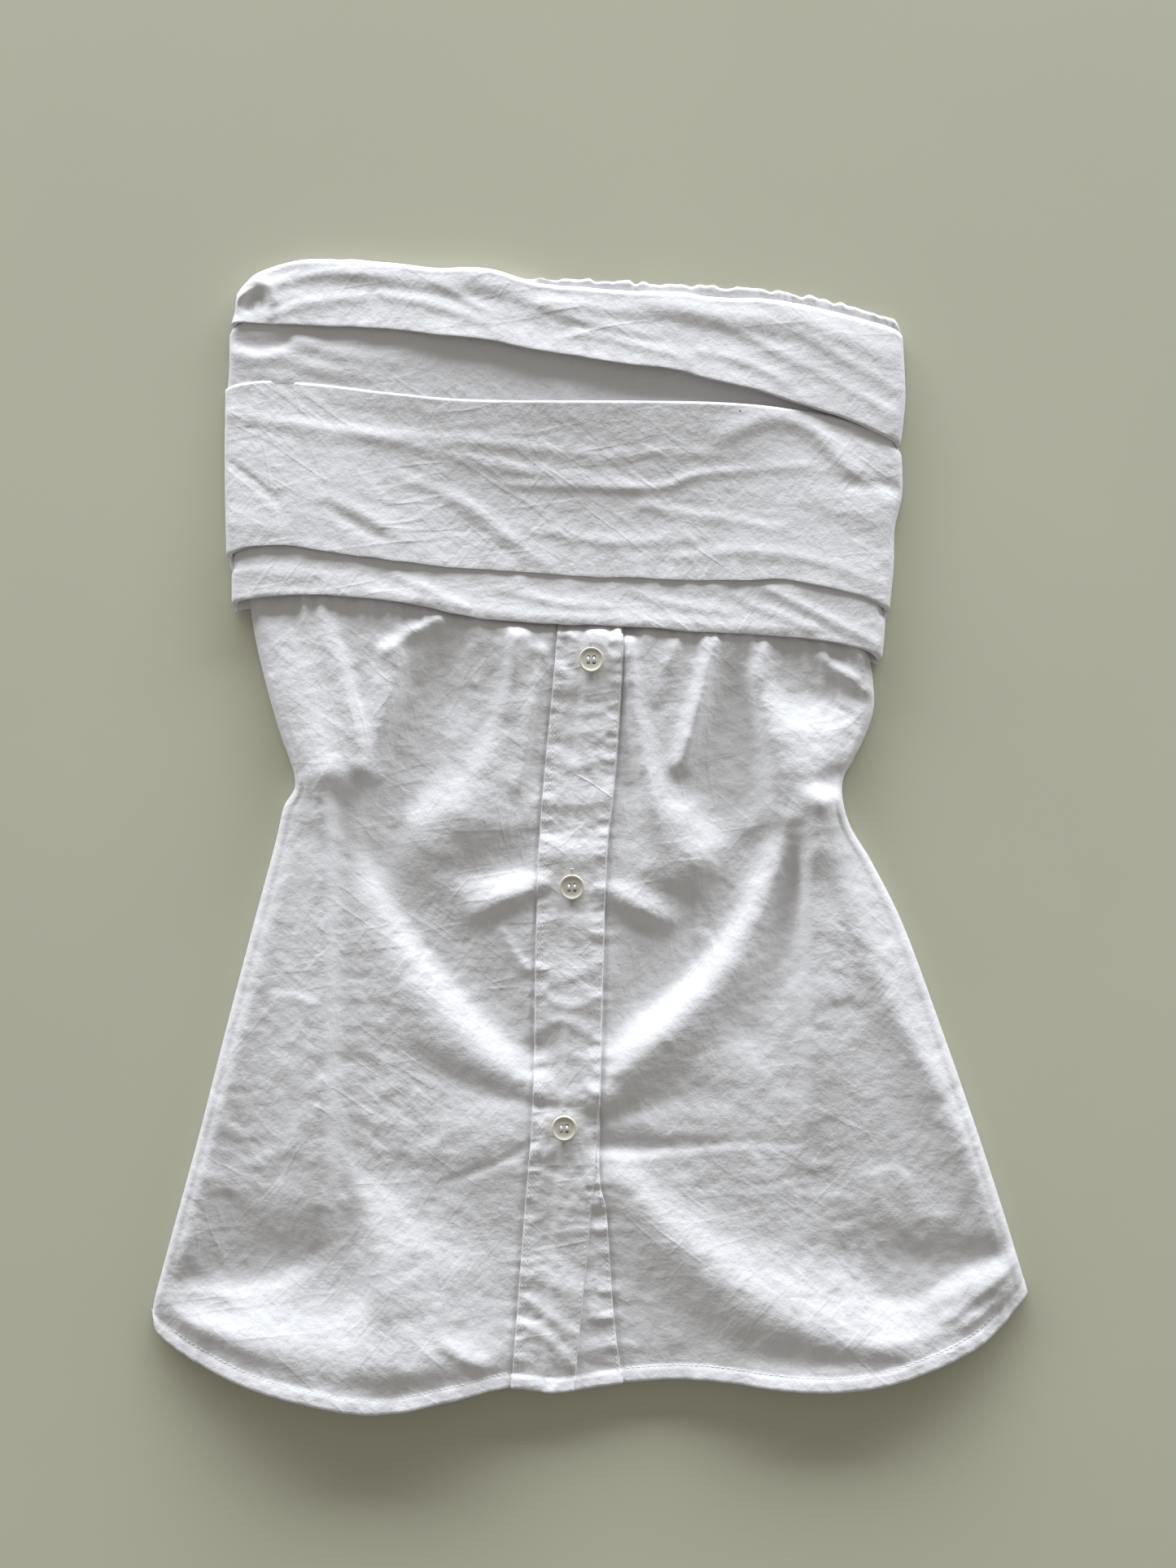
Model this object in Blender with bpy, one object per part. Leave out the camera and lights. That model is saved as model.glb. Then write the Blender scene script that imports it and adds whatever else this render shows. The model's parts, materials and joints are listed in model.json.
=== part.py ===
# Strapless cotton top lying flat on its back, front up and crumpled.
# The top's upper edge points to +Y, the floor is z = 0, and X runs across the garment.
# Tables and sizes below are in millimetres; meshes are made in metres.
import math
from collections import namedtuple

import bmesh
import bpy
import numpy as np

MM = 0.001

# Cloth and seams
WALL = 1.1            # wall of every cloth piece
GAP = 0.35            # space left between neighbouring pieces
BACK_TOP = 1.2        # upper face of the back pieces, which lie on the floor
RIM = BACK_TOP + GAP  # height at which the front pieces meet the back along the sides
PRESSED = 3.0         # lowest height of the front cloth over the back
HEM_DEPTH = 6.0       # turned-up hem
HEM_RISE = 0.6        # extra thickness of the turned-up hem

# Body
BAND_OVERLAP = 5.0    # the gathered body runs on under the band's lower fold
SIDE_ROLL = 6.0       # rounding of the body's side folds
BODY_ROWS = 37        # rows of cells between the band and the hem
LEFT_COLUMNS = 10     # columns of cells between the left fold and the placket
RIGHT_COLUMNS = 10    # columns of cells between the placket and the right fold
PRESS_REACH = 24.0    # distance below the band over which the cloth is still held down
HEM_REACH = 16.0      # distance above the hem over which the folds die away
BACK_HEM_INSET = 2.5  # the back hem lies hidden behind the front one

# Placket
TUCK = 9.0            # left front's edge under the placket
UNDER_START = 17.0    # where the under placket begins, from the placket's left edge

# Band
BAND_ROLL = 3.6       # rounding of the band's side folds
TOP_ROLL = 4.0        # rounding of the top fold's upper edge
BAND_COLUMNS = 26     # columns of cells between the band's side folds
FLAP_SHARE = 0.32     # most that a turned-under edge takes of its layer's height
HOOK_INSET = 2.7      # how far a turned-under edge stays inside its own side fold
BACK_GATHERS = 36     # elastic gathers along the back's upper edge
BACK_SIDE_STEPS = 9   # points down each side of the band's back
GATHER_DEPTH = 0.5

# Buttons
BUTTON_DIAMETER = 11.5
BUTTON_THICK = 2.3
BUTTON_SIDES = 20
HOLE_DIAMETER = 1.5
HOLE_SPACING = 2.6
BUTTON_SEAT = 9.0     # flat of the placket under each button

COTTON = (0.80, 0.80, 0.80, 1.0)
BUTTON_CREAM = (0.72, 0.71, 0.63, 1.0)

Point = namedtuple("Point", "x y")
Fold = namedtuple("Fold", "name ends rows")

# Outline of the front body, from the band down
LEFT_SIDE = (
    Point(-156.5, 110), Point(-153, 88), Point(-148, 67), Point(-142, 46), Point(-134.5, 23), Point(-140, 11),
    Point(-144, -6), Point(-155, -47), Point(-167, -93), Point(-179, -140), Point(-193, -191), Point(-199.6, -216),
    Point(-199.6, -224),
)
RIGHT_SIDE = (
    Point(127, 87), Point(128, 79), Point(129.5, 68), Point(129.5, 55), Point(124, 40), Point(115.5, 23),
    Point(118, 5), Point(129, -14), Point(143, -42), Point(159, -85), Point(175, -131), Point(190, -177),
    Point(200, -210),
)
HEM = (
    Point(-199.6, -224), Point(-195, -230.5), Point(-176, -242), Point(-148, -253), Point(-102, -261.5),
    Point(-64, -256.8), Point(-38, -252), Point(-14, -254), Point(17, -250), Point(50, -248.6),
    Point(88, -252.3), Point(118, -252.3), Point(146, -247), Point(179, -232), Point(200, -210),
)
# Edges of the two plackets, which lean to the left on their way down
PLACKET_LEFT = (
    Point(-13.8, 104), Point(-16.5, 70), Point(-20.3, 31), Point(-23.3, -9), Point(-24.8, -60), Point(-26, -124),
    Point(-30, -177), Point(-36, -256),
)
PLACKET_RIGHT = (
    Point(14.4, 104), Point(13.8, 67), Point(11.2, 25), Point(7.6, -10), Point(6.0, -60), Point(3.9, -130),
    Point(0, -177), Point(-7.4, -256),
)
# How far the under placket shows beyond the upper one
UNDER_SHOWS = (Point(0.7, 104), Point(0.7, -128), Point(7.8, -177), Point(15.4, -224), Point(22.5, -256))
# Height of the hem, which stands a little off the floor, from left to right
HEM_HEIGHT = (
    Point(-199, 3.2), Point(-175, 4.2), Point(-145, 6.6), Point(-110, 8.0), Point(-75, 7.6), Point(-40, 5.6),
    Point(-5, 5.0), Point(30, 4.8), Point(70, 5.8), Point(105, 7.6), Point(140, 7.8), Point(172, 5.0),
    Point(200, 3.2),
)
BUTTON_PLACES = (Point(0.5, 77.7), Point(-8.1, -25.0), Point(-11.7, -133.7))

# Folds of the body. Each row: x, y, height, width to the left and to the right of the line of travel.
# "ends" shortens the fall beyond the first and the last row.
BODY_FOLDS = (
    Fold("heads_left", (1, 1), ((-108, 104, 3, 20, 16), (-80, 102, 5, 20, 28), (-50, 100, 5, 20, 28),
                                (-24, 98, 3, 20, 26))),
    Fold("heads_right", (1, 1), ((16, 98, 3, 20, 26), (40, 97, 4, 20, 28), (62, 96, 6, 20, 36), (76, 95, 4, 20, 28))),
    Fold("upper_hollow_left", (1, 1), ((-86, 48, -2, 12, 10), (-66, 52, -4, 20, 16), (-46, 60, -2, 18, 12))),
    Fold("left_puff", (0.35, 1), ((-112, 29, 17, 17, 9), (-119, 46, 14, 20, 10), (-127, 70, 9.5, 19, 10),
                                  (-134, 92, 4, 18, 10), (-136, 112, 1, 18, 10))),
    Fold("left_waist_pocket", (1, 1), ((-124, 14, -4, 6, 7), (-113, 13, -7, 6, 9), (-104, 15, -4, 6, 8))),
    Fold("left_second_puff", (0.5, 1), ((-98, 27, 7, 9, 5), (-92, 45, 6, 10, 5), (-87, 65, 4, 9, 4),
                                        (-86, 80, 1.5, 8, 4))),
    Fold("fan_crest", (1, 1), ((-92, 2, 5, 28, 22), (-70, -2, 8, 44, 26), (-48, -4, 8, 46, 24), (-30, -8, 5, 36, 18))),
    Fold("fan_ridge", (1, 1), ((-50, 22, 2.5, 22, 14), (-41, 58, 3.5, 10, 7), (-34, 88, 2.5, 6, 5))),
    Fold("swag_valley", (1, 1), ((-108, 0, -3, 9, 7), (-97, -22, -5, 17, 8), (-82, -42, -7, 26, 9),
                                 (-64, -60, -8, 32, 9), (-46, -76, -7, 30, 9), (-30, -90, -4, 20, 8))),
    Fold("swag_ridge", (1, 1), ((-100, -34, 3, 10, 18), (-84, -60, 4, 10, 24), (-65, -80, 4, 10, 26),
                                (-46, -97, 4, 9, 20), (-30, -109, 3, 8, 10))),
    Fold("left_long_ridge", (1, 1), ((-128, -178, 1.5, 14, 12), (-122, -130, 5, 17, 9), (-120, -80, 6.5, 18, 9),
                                     (-121, -40, 6, 15, 9), (-126, 0, 4, 8, 8), (-128, 18, 2, 6, 6))),
    Fold("button_streak", (1, 1), ((-51, -37, 2, 7, 4), (-38, -31, 3, 8, 4), (-23, -25, 2, 7, 4))),
    Fold("left_pull", (1, 1), ((-80, -100, -1.5, 8, 6), (-64, -108, -3, 12, 6), (-45, -118, -3.5, 12, 6),
                               (-26, -125, -3, 9, 5), (-12, -126, -2, 6, 4))),
    Fold("left_bulge", (1, 1), ((-182, -220, 3, 10, 6), (-162, -224, 8, 22, 9), (-138, -228, 11, 34, 11),
                                (-108, -232, 12, 48, 12), (-82, -236, 10, 56, 11), (-62, -238, 7, 56, 9),
                                (-47, -241, 3, 34, 8))),
    Fold("left_bulge_spine", (1, 1), ((-86, -212, 3, 14, 14), (-92, -188, 5.5, 12, 20), (-100, -168, 4.5, 8, 16),
                                      (-109, -152, 2, 5, 10))),
    Fold("left_triangle", (1, 1), ((-190, -207, -2, 12, 6), (-165, -200, -5, 20, 8), (-145, -194, -6, 22, 8),
                                   (-130, -186, -3, 16, 8))),
    Fold("right_tension", (1, 1), ((44, -2, 4, 14, 14), (31, 18, 4, 9, 9), (23, 38, 3, 5, 8), (18, 60, 2.5, 4, 6),
                                   (16, 88, 2, 4, 5))),
    Fold("lobe", (1, 1), ((27, -18, 4, 18, 9), (44, -22, 7, 30, 9), (60, -14, 6, 26, 9), (76, 0, 3, 14, 8))),
    Fold("gather_ridge", (0.6, 1), ((37, 28, 3, 6, 5), (44, 38, 4, 5, 5), (46, 52, 4, 5, 5), (50, 70, 3, 5, 5),
                                    (58, 90, 2, 4, 5))),
    Fold("right_hollow", (1, 1), ((70, 6, -4, 13, 9), (66, 30, -6, 15, 9), (65, 58, -5, 13, 8), (67, 82, -3, 9, 7))),
    Fold("right_puff", (1, 1), ((82, 20, 5, 30, 12), (100, 26, 11, 44, 9), (117, 29, 10, 44, 7))),
    Fold("right_puff_edge", (1, 1), ((90, 6, 4, 7, 12), (83, 30, 5, 6, 14), (77, 55, 5, 5, 16), (74, 74, 4, 5, 14),
                                     (78, 92, 1, 5, 10))),
    Fold("right_waist_pocket", (1, 1), ((120, 21, -4, 5, 5), (112, 22, -5, 5, 5), (105, 18, -2, 5, 5))),
    Fold("big_hollow", (1, 1), ((14, -84, -3, 18, 7), (30, -70, -5, 30, 8), (48, -54, -7, 34, 9), (62, -36, -7, 28, 9),
                                (73, -12, -5, 16, 8))),
    Fold("diagonal_ridge", (1, 1), ((8, -132, 2, 6, 8), (13, -114, 4, 9, 16), (24, -100, 6, 10, 22),
                                    (42, -85, 8, 11, 26), (60, -70, 9, 11, 26), (74, -50, 8, 10, 20),
                                    (84, -28, 6, 9, 13), (89, -8, 4, 8, 8), (91, 6, 2, 7, 7))),
    Fold("button_lobe", (1, 1), ((8, -28, 2, 7, 4), (20, -34, 3.5, 8, 4), (32, -40, 3, 8, 4))),
    Fold("right_long_ridge", (0.6, 1), ((102, -142, 4.5, 9, 8), (104, -110, 5.5, 10, 9), (103, -66, 5.5, 10, 9),
                                        (101, -46, 5, 8, 8), (97, -24, 4, 8, 7), (92, 10, 3, 7, 6))),
    Fold("right_pull", (1, 1), ((2, -140, -3, 7, 5), (18, -131, -3, 8, 5), (36, -119, -2, 9, 6))),
    Fold("right_bulge", (1, 1), ((8, -152, 1, 5, 8), (26, -168, 5, 11, 12), (46, -186, 8, 17, 14),
                                 (66, -204, 9, 24, 12), (86, -220, 10, 30, 11), (106, -229, 11, 34, 10),
                                 (130, -231, 11, 30, 9), (154, -227, 8, 22, 8), (176, -219, 3, 14, 7))),
    Fold("right_corner_pocket", (1, 1), ((131, -190, -2, 7, 8), (134, -206, -4, 7, 8), (141, -213, -6, 14, 7),
                                         (150, -205, -7, 20, 7), (162, -196, -6, 20, 7), (182, -191, -3, 12, 7))),
)

# Lower edges of the band's folds, the middle fold's upper edge and the top outline, from left to right
TOP_EDGE = (
    Point(-164, 246), Point(-160.5, 250), Point(-153, 255.8), Point(-134.7, 260.8), Point(-111, 260.8),
    Point(-77, 258), Point(-50, 256.8), Point(-20, 250), Point(16, 247.3), Point(57, 244.5), Point(92, 242),
    Point(122, 234.5), Point(138, 229), Point(144, 222),
)
BACK_EDGE = (
    Point(-164, 240), Point(-159, 247), Point(-152, 253), Point(-134, 259), Point(-111, 259), Point(-77, 256.2),
    Point(-45, 254.5), Point(-28, 252.6), Point(4, 251.6), Point(41, 249.6), Point(82, 246.8), Point(108, 242.4),
    Point(130, 236), Point(139.5, 232.4), Point(144, 222),
)
TOP_FOLD_LOW = (
    Point(-166, 231.5), Point(-139, 230), Point(-84, 227), Point(-45, 222), Point(-8, 215.7), Point(44, 207.6),
    Point(83, 198), Point(118, 187), Point(143, 174.8),
)
MIDDLE_TOP = (
    Point(-168, 199.5), Point(-161, 203), Point(-145, 205), Point(-118, 202.8), Point(-87, 198.7), Point(-47, 195.4),
    Point(52, 194.6), Point(92, 191.3), Point(113, 187.5), Point(124, 184.5), Point(143, 182.5),
)
MIDDLE_LOW = (
    Point(-167, 124), Point(-154, 128.8), Point(-138, 129.5), Point(-118, 126.2), Point(-68, 120.6), Point(-8, 116),
    Point(62, 114), Point(92.5, 113.6), Point(122, 107.3), Point(138, 100),
)
LOWER_LOW = (
    Point(-165, 102.8), Point(-156, 105.1), Point(-132, 106.9), Point(-94, 104.7), Point(-48, 96.2), Point(-16, 94.4),
    Point(32, 91.8), Point(92, 88.1), Point(122, 83.3), Point(135, 77),
)
# Side folds of each layer: x at a height along the garment, from the bottom up
TOP_FOLD_SIDES = (Point(-164.0, 231), Point(-162.5, 237), Point(-161.6, 244), Point(-161.2, 252)), (
    Point(141.6, 174), Point(143.6, 190), Point(144.2, 200), Point(143.6, 215), Point(142.9, 227), Point(142.6, 233))
INSET_SIDES = (Point(-165.0, 190), Point(-165.1, 203), Point(-164.8, 215), Point(-164.4, 228), Point(-160.2, 231),
               Point(-158, 242)), (
    Point(138.0, 160), Point(137.6, 183), Point(139.4, 190), Point(139.8, 200))
MIDDLE_SIDES = (Point(-165.8, 122), Point(-166.9, 170), Point(-166.6, 205)), (
    Point(136.8, 101), Point(138.8, 122), Point(139.2, 138), Point(142.6, 153), Point(142.6, 168), Point(141.8, 173),
    Point(139.2, 176), Point(139.4, 184))
LOWER_SIDES = (Point(-163.4, 100), Point(-163.5, 117), Point(-162.4, 121), Point(-162.4, 150)), (
    Point(133.2, 77), Point(134.8, 93), Point(134.4, 97), Point(133.4, 101), Point(133.4, 130))
BACK_SIDES = (Point(-162, 99), Point(-163, 116), Point(-165.2, 126), Point(-166.2, 170), Point(-165.8, 200),
              Point(-163.8, 225)), (
    Point(132, 76), Point(134.5, 93), Point(136.5, 104), Point(138.5, 122), Point(139, 138), Point(141.5, 153),
    Point(141.3, 175), Point(143.6, 195), Point(143, 215))

# Heights of the band's layers at stations across the band, from each layer's upper end to its lower edge
Station = namedtuple("Station", "x h0 h1 h2 h3 h4 h5")
TOP_FOLD_HEIGHTS = (
    Station(-160, 6.5, 9.0, 9.8, 9.6, 10.4, 11.2), Station(-140, 7.5, 10.2, 10.0, 9.8, 11.0, 12.4),
    Station(-100, 8.0, 10.0, 9.4, 9.8, 11.4, 13.0), Station(-60, 8.0, 9.5, 9.4, 10.8, 12.2, 14.0),
    Station(-20, 8.0, 9.5, 9.0, 11.5, 12.5, 14.5), Station(20, 7.5, 10.0, 9.5, 11.0, 12.5, 14.5),
    Station(60, 7.0, 10.0, 11.0, 10.0, 12.0, 14.0), Station(100, 6.5, 8.5, 10.5, 10.5, 11.0, 13.0),
    Station(138, 5.5, 7.0, 8.0, 8.5, 9.5, 10.5),
)
INSET_HEIGHTS = (
    Station(-160, 3.2, 3.8, 5.6, 5.4, 4.6, 4.2), Station(-135, 3.2, 3.8, 6.0, 5.6, 4.4, 3.8),
    Station(-100, 3.2, 3.6, 4.6, 4.2, 3.4, 3.2), Station(-50, 3.2, 3.4, 3.4, 3.2, 3.0, 3.0),
    Station(20, 3.2, 3.3, 3.2, 3.0, 3.0, 3.0), Station(80, 3.2, 3.2, 3.0, 3.0, 3.0, 3.0),
    Station(138, 3.0, 3.0, 3.0, 3.0, 3.0, 3.0),
)
MIDDLE_HEIGHTS = (
    Station(-160, 6.2, 7.4, 8.0, 8.2, 8.8, 9.2), Station(-120, 5.8, 7.2, 8.4, 9.0, 9.6, 10.0),
    Station(-60, 4.8, 5.6, 7.0, 8.4, 9.6, 10.4), Station(0, 4.7, 5.0, 6.0, 7.6, 9.2, 10.6),
    Station(50, 4.8, 5.8, 7.2, 8.2, 9.4, 10.6), Station(85, 5.0, 7.6, 9.0, 9.2, 9.8, 10.6),
    Station(115, 4.7, 6.2, 8.2, 9.2, 9.8, 10.2), Station(138, 4.6, 5.6, 7.2, 8.2, 8.8, 9.2),
)
LOWER_HEIGHTS = (
    Station(-160, 3.4, 3.8, 4.4, 5.6, 6.8, 8.2), Station(-110, 3.4, 3.8, 4.6, 6.0, 7.6, 9.2),
    Station(-60, 3.4, 3.8, 4.8, 6.2, 7.9, 9.4), Station(-30, 3.4, 4.0, 5.4, 7.6, 9.6, 10.6),
    Station(20, 3.4, 4.0, 5.4, 7.8, 9.8, 10.8), Station(60, 3.4, 3.8, 4.8, 6.2, 7.9, 9.4),
    Station(110, 3.4, 3.8, 4.6, 5.8, 7.4, 8.8),
    Station(134, 3.4, 3.8, 4.4, 5.4, 6.4, 7.8),
)
# Shape of each band layer: overlap hidden above its visible top, radius and depth of its turned-under edge
Layer = namedtuple("Layer", "name top tuck low sides heights radius depth shares")
BAND_LAYERS = (
    Layer("band_top_fold", TOP_EDGE, 0, TOP_FOLD_LOW, TOP_FOLD_SIDES, TOP_FOLD_HEIGHTS, 2.4, 8,
          (0, 0.15, 0.3, 0.45, 0.6, 0.75, 0.9)),
    Layer("band_inset", TOP_FOLD_LOW, 9, MIDDLE_TOP, INSET_SIDES, INSET_HEIGHTS, 0, 0,
          (0, 0.18, 0.24, 0.42, 0.6, 0.8, 1)),
    Layer("band_middle_fold", MIDDLE_TOP, 0, MIDDLE_LOW, MIDDLE_SIDES, MIDDLE_HEIGHTS, 1.7, 8,
          (0, 0.08, 0.16, 0.28, 0.4, 0.52, 0.64, 0.76, 0.9)),
    Layer("band_lower_fold", MIDDLE_LOW, 13, LOWER_LOW, LOWER_SIDES, LOWER_HEIGHTS, 1.7, 6,
          (0, 0.22, 0.4, 0.52, 0.7, 0.88)),
)
INSET_OVERLAP = 8.0   # the inset runs on under the middle fold
BACK_BELOW = 3.5      # the back of the band reaches this far below the lower fold
BACK_SEAM = np.linspace(-154, 125, 20)  # stations across the seam between the band's back and the back panel


def clear_scene():
    for item in list(bpy.data.objects):
        bpy.data.objects.remove(item, do_unlink=True)


def cloth_material(name, colour, roughness):
    material = bpy.data.materials.new(name)
    material.use_nodes = True
    shader = material.node_tree.nodes["Principled BSDF"]
    shader.inputs["Base Color"].default_value = colour
    shader.inputs["Roughness"].default_value = roughness
    return material


def ease(low, high, value):
    """Smooth step from 0 at low to 1 at high."""
    t = np.clip((value - low) / (high - low), 0.0, 1.0)
    return t * t * (3.0 - 2.0 * t)


def smooth_rows(rows, steps=6):
    """Catmull-Rom curve through the rows, every column alike."""
    points = np.array(rows, float)
    ends = np.vstack([2 * points[0] - points[1], points, 2 * points[-1] - points[-2]])
    share = np.linspace(0, 1, steps, endpoint=False)[:, None]
    parts = []
    for a, b, c, d in zip(ends[:-3], ends[1:-2], ends[2:-1], ends[3:]):
        parts.append(0.5 * (2 * b + (c - a) * share + (2 * a - 5 * b + 4 * c - d) * share ** 2
                            + (3 * b - a - 3 * c + d) * share ** 3))
    return np.vstack(parts + [points[-1:]])


def along(table, shares):
    """Points on the smooth curve through a table, at shares of its length."""
    curve = smooth_rows(table)
    steps = np.hypot(*np.diff(curve, axis=0).T)
    length = np.concatenate([[0], np.cumsum(steps)])
    length /= length[-1]
    return np.column_stack([np.interp(shares, length, curve[:, 0]), np.interp(shares, length, curve[:, 1])])


def y_at(table, x):
    """Read a left-to-right table: y at x."""
    curve = smooth_rows(table)
    order = np.argsort(curve[:, 0])
    return np.interp(x, curve[order, 0], curve[order, 1])


def x_at(table, y):
    """Read a table of a side: x at y."""
    curve = smooth_rows(table)
    order = np.argsort(curve[:, 1])
    return np.interp(y, curve[order, 1], curve[order, 0])


def fold_height(x, y, fold):
    """Height that one fold adds: a soft ridge or trough along its rows, with a width of its own on each side."""
    rows = smooth_rows(fold.rows)
    nearest = np.full(x.shape, np.inf)
    height = np.zeros(x.shape)
    for a, b in zip(rows[:-1], rows[1:]):
        step_x, step_y = b[0] - a[0], b[1] - a[1]
        length = math.hypot(step_x, step_y)
        share = np.clip(((x - a[0]) * step_x + (y - a[1]) * step_y) / length ** 2, 0, 1)
        off_x, off_y = x - a[0] - share * step_x, y - a[1] - share * step_y
        distance = np.hypot(off_x, off_y)
        beyond = (off_x * step_x + off_y * step_y) / length
        stretch = np.where(beyond < 0, fold.ends[0], fold.ends[1])
        reach = np.sqrt(np.maximum(distance ** 2 - beyond ** 2, 0) + (beyond / stretch) ** 2)
        side = (step_x * off_y - step_y * off_x) / length / np.maximum(distance, 1e-6)
        peak, left, right = (a[k] + (b[k] - a[k]) * share for k in (2, 3, 4))
        width = left * (0.5 + 0.5 * side) + right * (0.5 - 0.5 * side)
        closer = distance < nearest
        nearest = np.where(closer, distance, nearest)
        height = np.where(closer, peak * np.exp(-(reach / width) ** 2), height)
    return height


class Relief:
    """Height of the front cloth over the floor, worked out on a grid and read between its points."""

    LEFT, RIGHT, LOW, HIGH, STEP = -206.0, 206.0, -268.0, 110.0, 2.0
    SPREAD = (0.06, 0.24, 0.40, 0.24, 0.06)

    def __init__(self):
        self.xs = np.arange(self.LEFT, self.RIGHT + self.STEP, self.STEP)
        self.ys = np.arange(self.LOW, self.HIGH + self.STEP, self.STEP)
        x, y = np.meshgrid(self.xs, self.ys)
        height = np.full(x.shape, PRESSED + 2.0)
        for fold in BODY_FOLDS:
            height += fold_height(x, y, fold)
        # soft floor, so that troughs never press through the back
        height = PRESSED + 0.5 * (height - PRESSED + np.sqrt((height - PRESSED) ** 2 + 1.5))
        under_band = y_at(LOWER_LOW, x) - y
        height = PRESSED + (height - PRESSED) * (0.04 + 0.96 * ease(-2, PRESS_REACH, under_band))
        above_hem = y - y_at(HEM, x)
        self.grid = self.blurred(height + (y_at(HEM_HEIGHT, x) - height) * (1 - ease(0, HEM_REACH, above_hem)))

    def blurred(self, grid):
        for axis in (0, 1):
            grid = np.apply_along_axis(lambda line: np.convolve(np.pad(line, 2, mode="edge"), self.SPREAD, "valid"),
                                       axis, grid)
        return grid

    def at(self, x, y):
        column = np.clip((np.asarray(x, float) - self.LEFT) / self.STEP, 0, len(self.xs) - 1.001)
        row = np.clip((np.asarray(y, float) - self.LOW) / self.STEP, 0, len(self.ys) - 1.001)
        i, j = column.astype(int), row.astype(int)
        u, v = column - i, row - j
        g = self.grid
        return ((g[j, i] * (1 - u) + g[j, i + 1] * u) * (1 - v) + (g[j + 1, i] * (1 - u) + g[j + 1, i + 1] * u) * v)


def wall_object(name, outer, inner, material):
    """Closed wall between an outer and an inner grid of points (rows, columns, xyz), in millimetres."""
    rows, columns = outer.shape[:2]
    mesh = bpy.data.meshes.new(name)
    bm = bmesh.new()
    top = [[bm.verts.new(point * MM) for point in row] for row in outer]
    low = [[bm.verts.new(point * MM) for point in row] for row in inner]
    height = outer[..., 2]
    turned = np.abs(height[1:, :-1] - height[:-1, 1:]) < np.abs(height[:-1, :-1] - height[1:, 1:])
    # where two rounded edges meet in a corner, the cut runs into the corner instead
    turned[0, [0, -1]] = ~turned[0, [0, -1]]
    for j in range(rows - 1):
        for i in range(columns - 1):
            # the cut across each cell runs along the fold, where the height changes least
            corners = ((j, i), (j + 1, i), (j + 1, i + 1), (j, i + 1))
            if turned[j, i]:
                corners = corners[1:] + corners[:1]
            for a, b, c in ((0, 1, 2), (0, 2, 3)):
                (aj, ai), (bj, bi), (cj, ci) = corners[a], corners[b], corners[c]
                bm.faces.new((top[aj][ai], top[bj][bi], top[cj][ci]))
                bm.faces.new((low[aj][ai], low[cj][ci], low[bj][bi]))
    edge = [(0, i) for i in range(columns)] + [(j, columns - 1) for j in range(1, rows)]
    edge += [(rows - 1, i) for i in range(columns - 2, -1, -1)] + [(j, 0) for j in range(rows - 2, 0, -1)]
    for a, b in zip(edge, edge[1:] + edge[:1]):
        bm.faces.new((top[a[0]][a[1]], top[b[0]][b[1]], low[b[0]][b[1]], low[a[0]][a[1]]))
    bmesh.ops.recalc_face_normals(bm, faces=bm.faces[:])
    bm.to_mesh(mesh)
    bm.free()
    return add_object(name, mesh, material)


def add_object(name, mesh, material):
    mesh.shade_smooth()
    mesh.set_sharp_from_angle(angle=math.radians(50))
    item = bpy.data.objects.new(name, mesh)
    item.data.materials.append(material)
    bpy.context.scene.collection.objects.link(item)
    return item


def plate_object(name, outline, material):
    """Flat piece of the back, lying on the floor, from its outline."""
    mesh = bpy.data.meshes.new(name)
    bm = bmesh.new()
    face = bm.faces.new([bm.verts.new((x * MM, y * MM, 0.0)) for x, y in outline])
    raised = bmesh.ops.extrude_face_region(bm, geom=[face])["geom"]
    moved = [item for item in raised if isinstance(item, bmesh.types.BMVert)]
    bmesh.ops.translate(bm, verts=moved, vec=(0, 0, BACK_TOP * MM))
    bmesh.ops.triangulate(bm, faces=bm.faces[:])
    bmesh.ops.recalc_face_normals(bm, faces=bm.faces[:])
    bm.to_mesh(mesh)
    bm.free()
    return add_object(name, mesh, material)


def normals_of(points):
    """Unit normals of a grid of points, turned upwards at its middle."""
    across = np.gradient(points, axis=1)
    down = np.gradient(points, axis=0)
    normal = np.cross(down, across)
    normal /= np.maximum(np.linalg.norm(normal, axis=2, keepdims=True), 1e-9)
    return normal


ROLL_ANGLES = np.radians((0, 22, 45, 68, 90))


def body_rows():
    """Shares along the body of its rows, closer at the turned-up hem."""
    length = y_at(LOWER_LOW, 0) - HEM[4].y
    hem_rows = [1 - (HEM_DEPTH + 0.9) / length, 1 - HEM_DEPTH / length, 1.0]
    return np.concatenate([np.linspace(0, 1 - 15.0 / length, BODY_ROWS), hem_rows])


def band_line(x):
    """Upper end of the body, hidden under the band's lower fold."""
    return y_at(LOWER_LOW, x) + BAND_OVERLAP


def line_rows(table, shares, shift=0.0):
    """A line down the front at each row: starts at the band, ends on the hem."""
    foot_x = table[-1].x + shift
    start_y = band_line(table[0].x + shift)
    y = start_y + (y_at(HEM, foot_x) - start_y) * shares
    return np.column_stack([x_at(table, y) + shift, y])


def coons(left, right, upper, lower, shares, across):
    """Point inside four edges at a row's share and a share across."""
    v = shares[:, None, None]
    u = across[..., None]
    edges = left[:, None] * (1 - u) + right[:, None] * u
    ends = upper * (1 - v) + lower * v
    corners = ((left[0] * (1 - u) + right[0] * u) * (1 - v) + (left[-1] * (1 - u) + right[-1] * u) * v)
    return edges + ends - corners


def side_of(halves, extra, outline_first):
    """Outer and inner plan of a front panel: its half of the front and the columns under the placket."""
    if outline_first:
        return [np.concatenate([half] + [line[:, None] for line in extra], axis=1) for half in halves]
    return [np.concatenate([line[:, None] for line in extra] + [half[:, ::-1]], axis=1) for half in halves]


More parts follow.
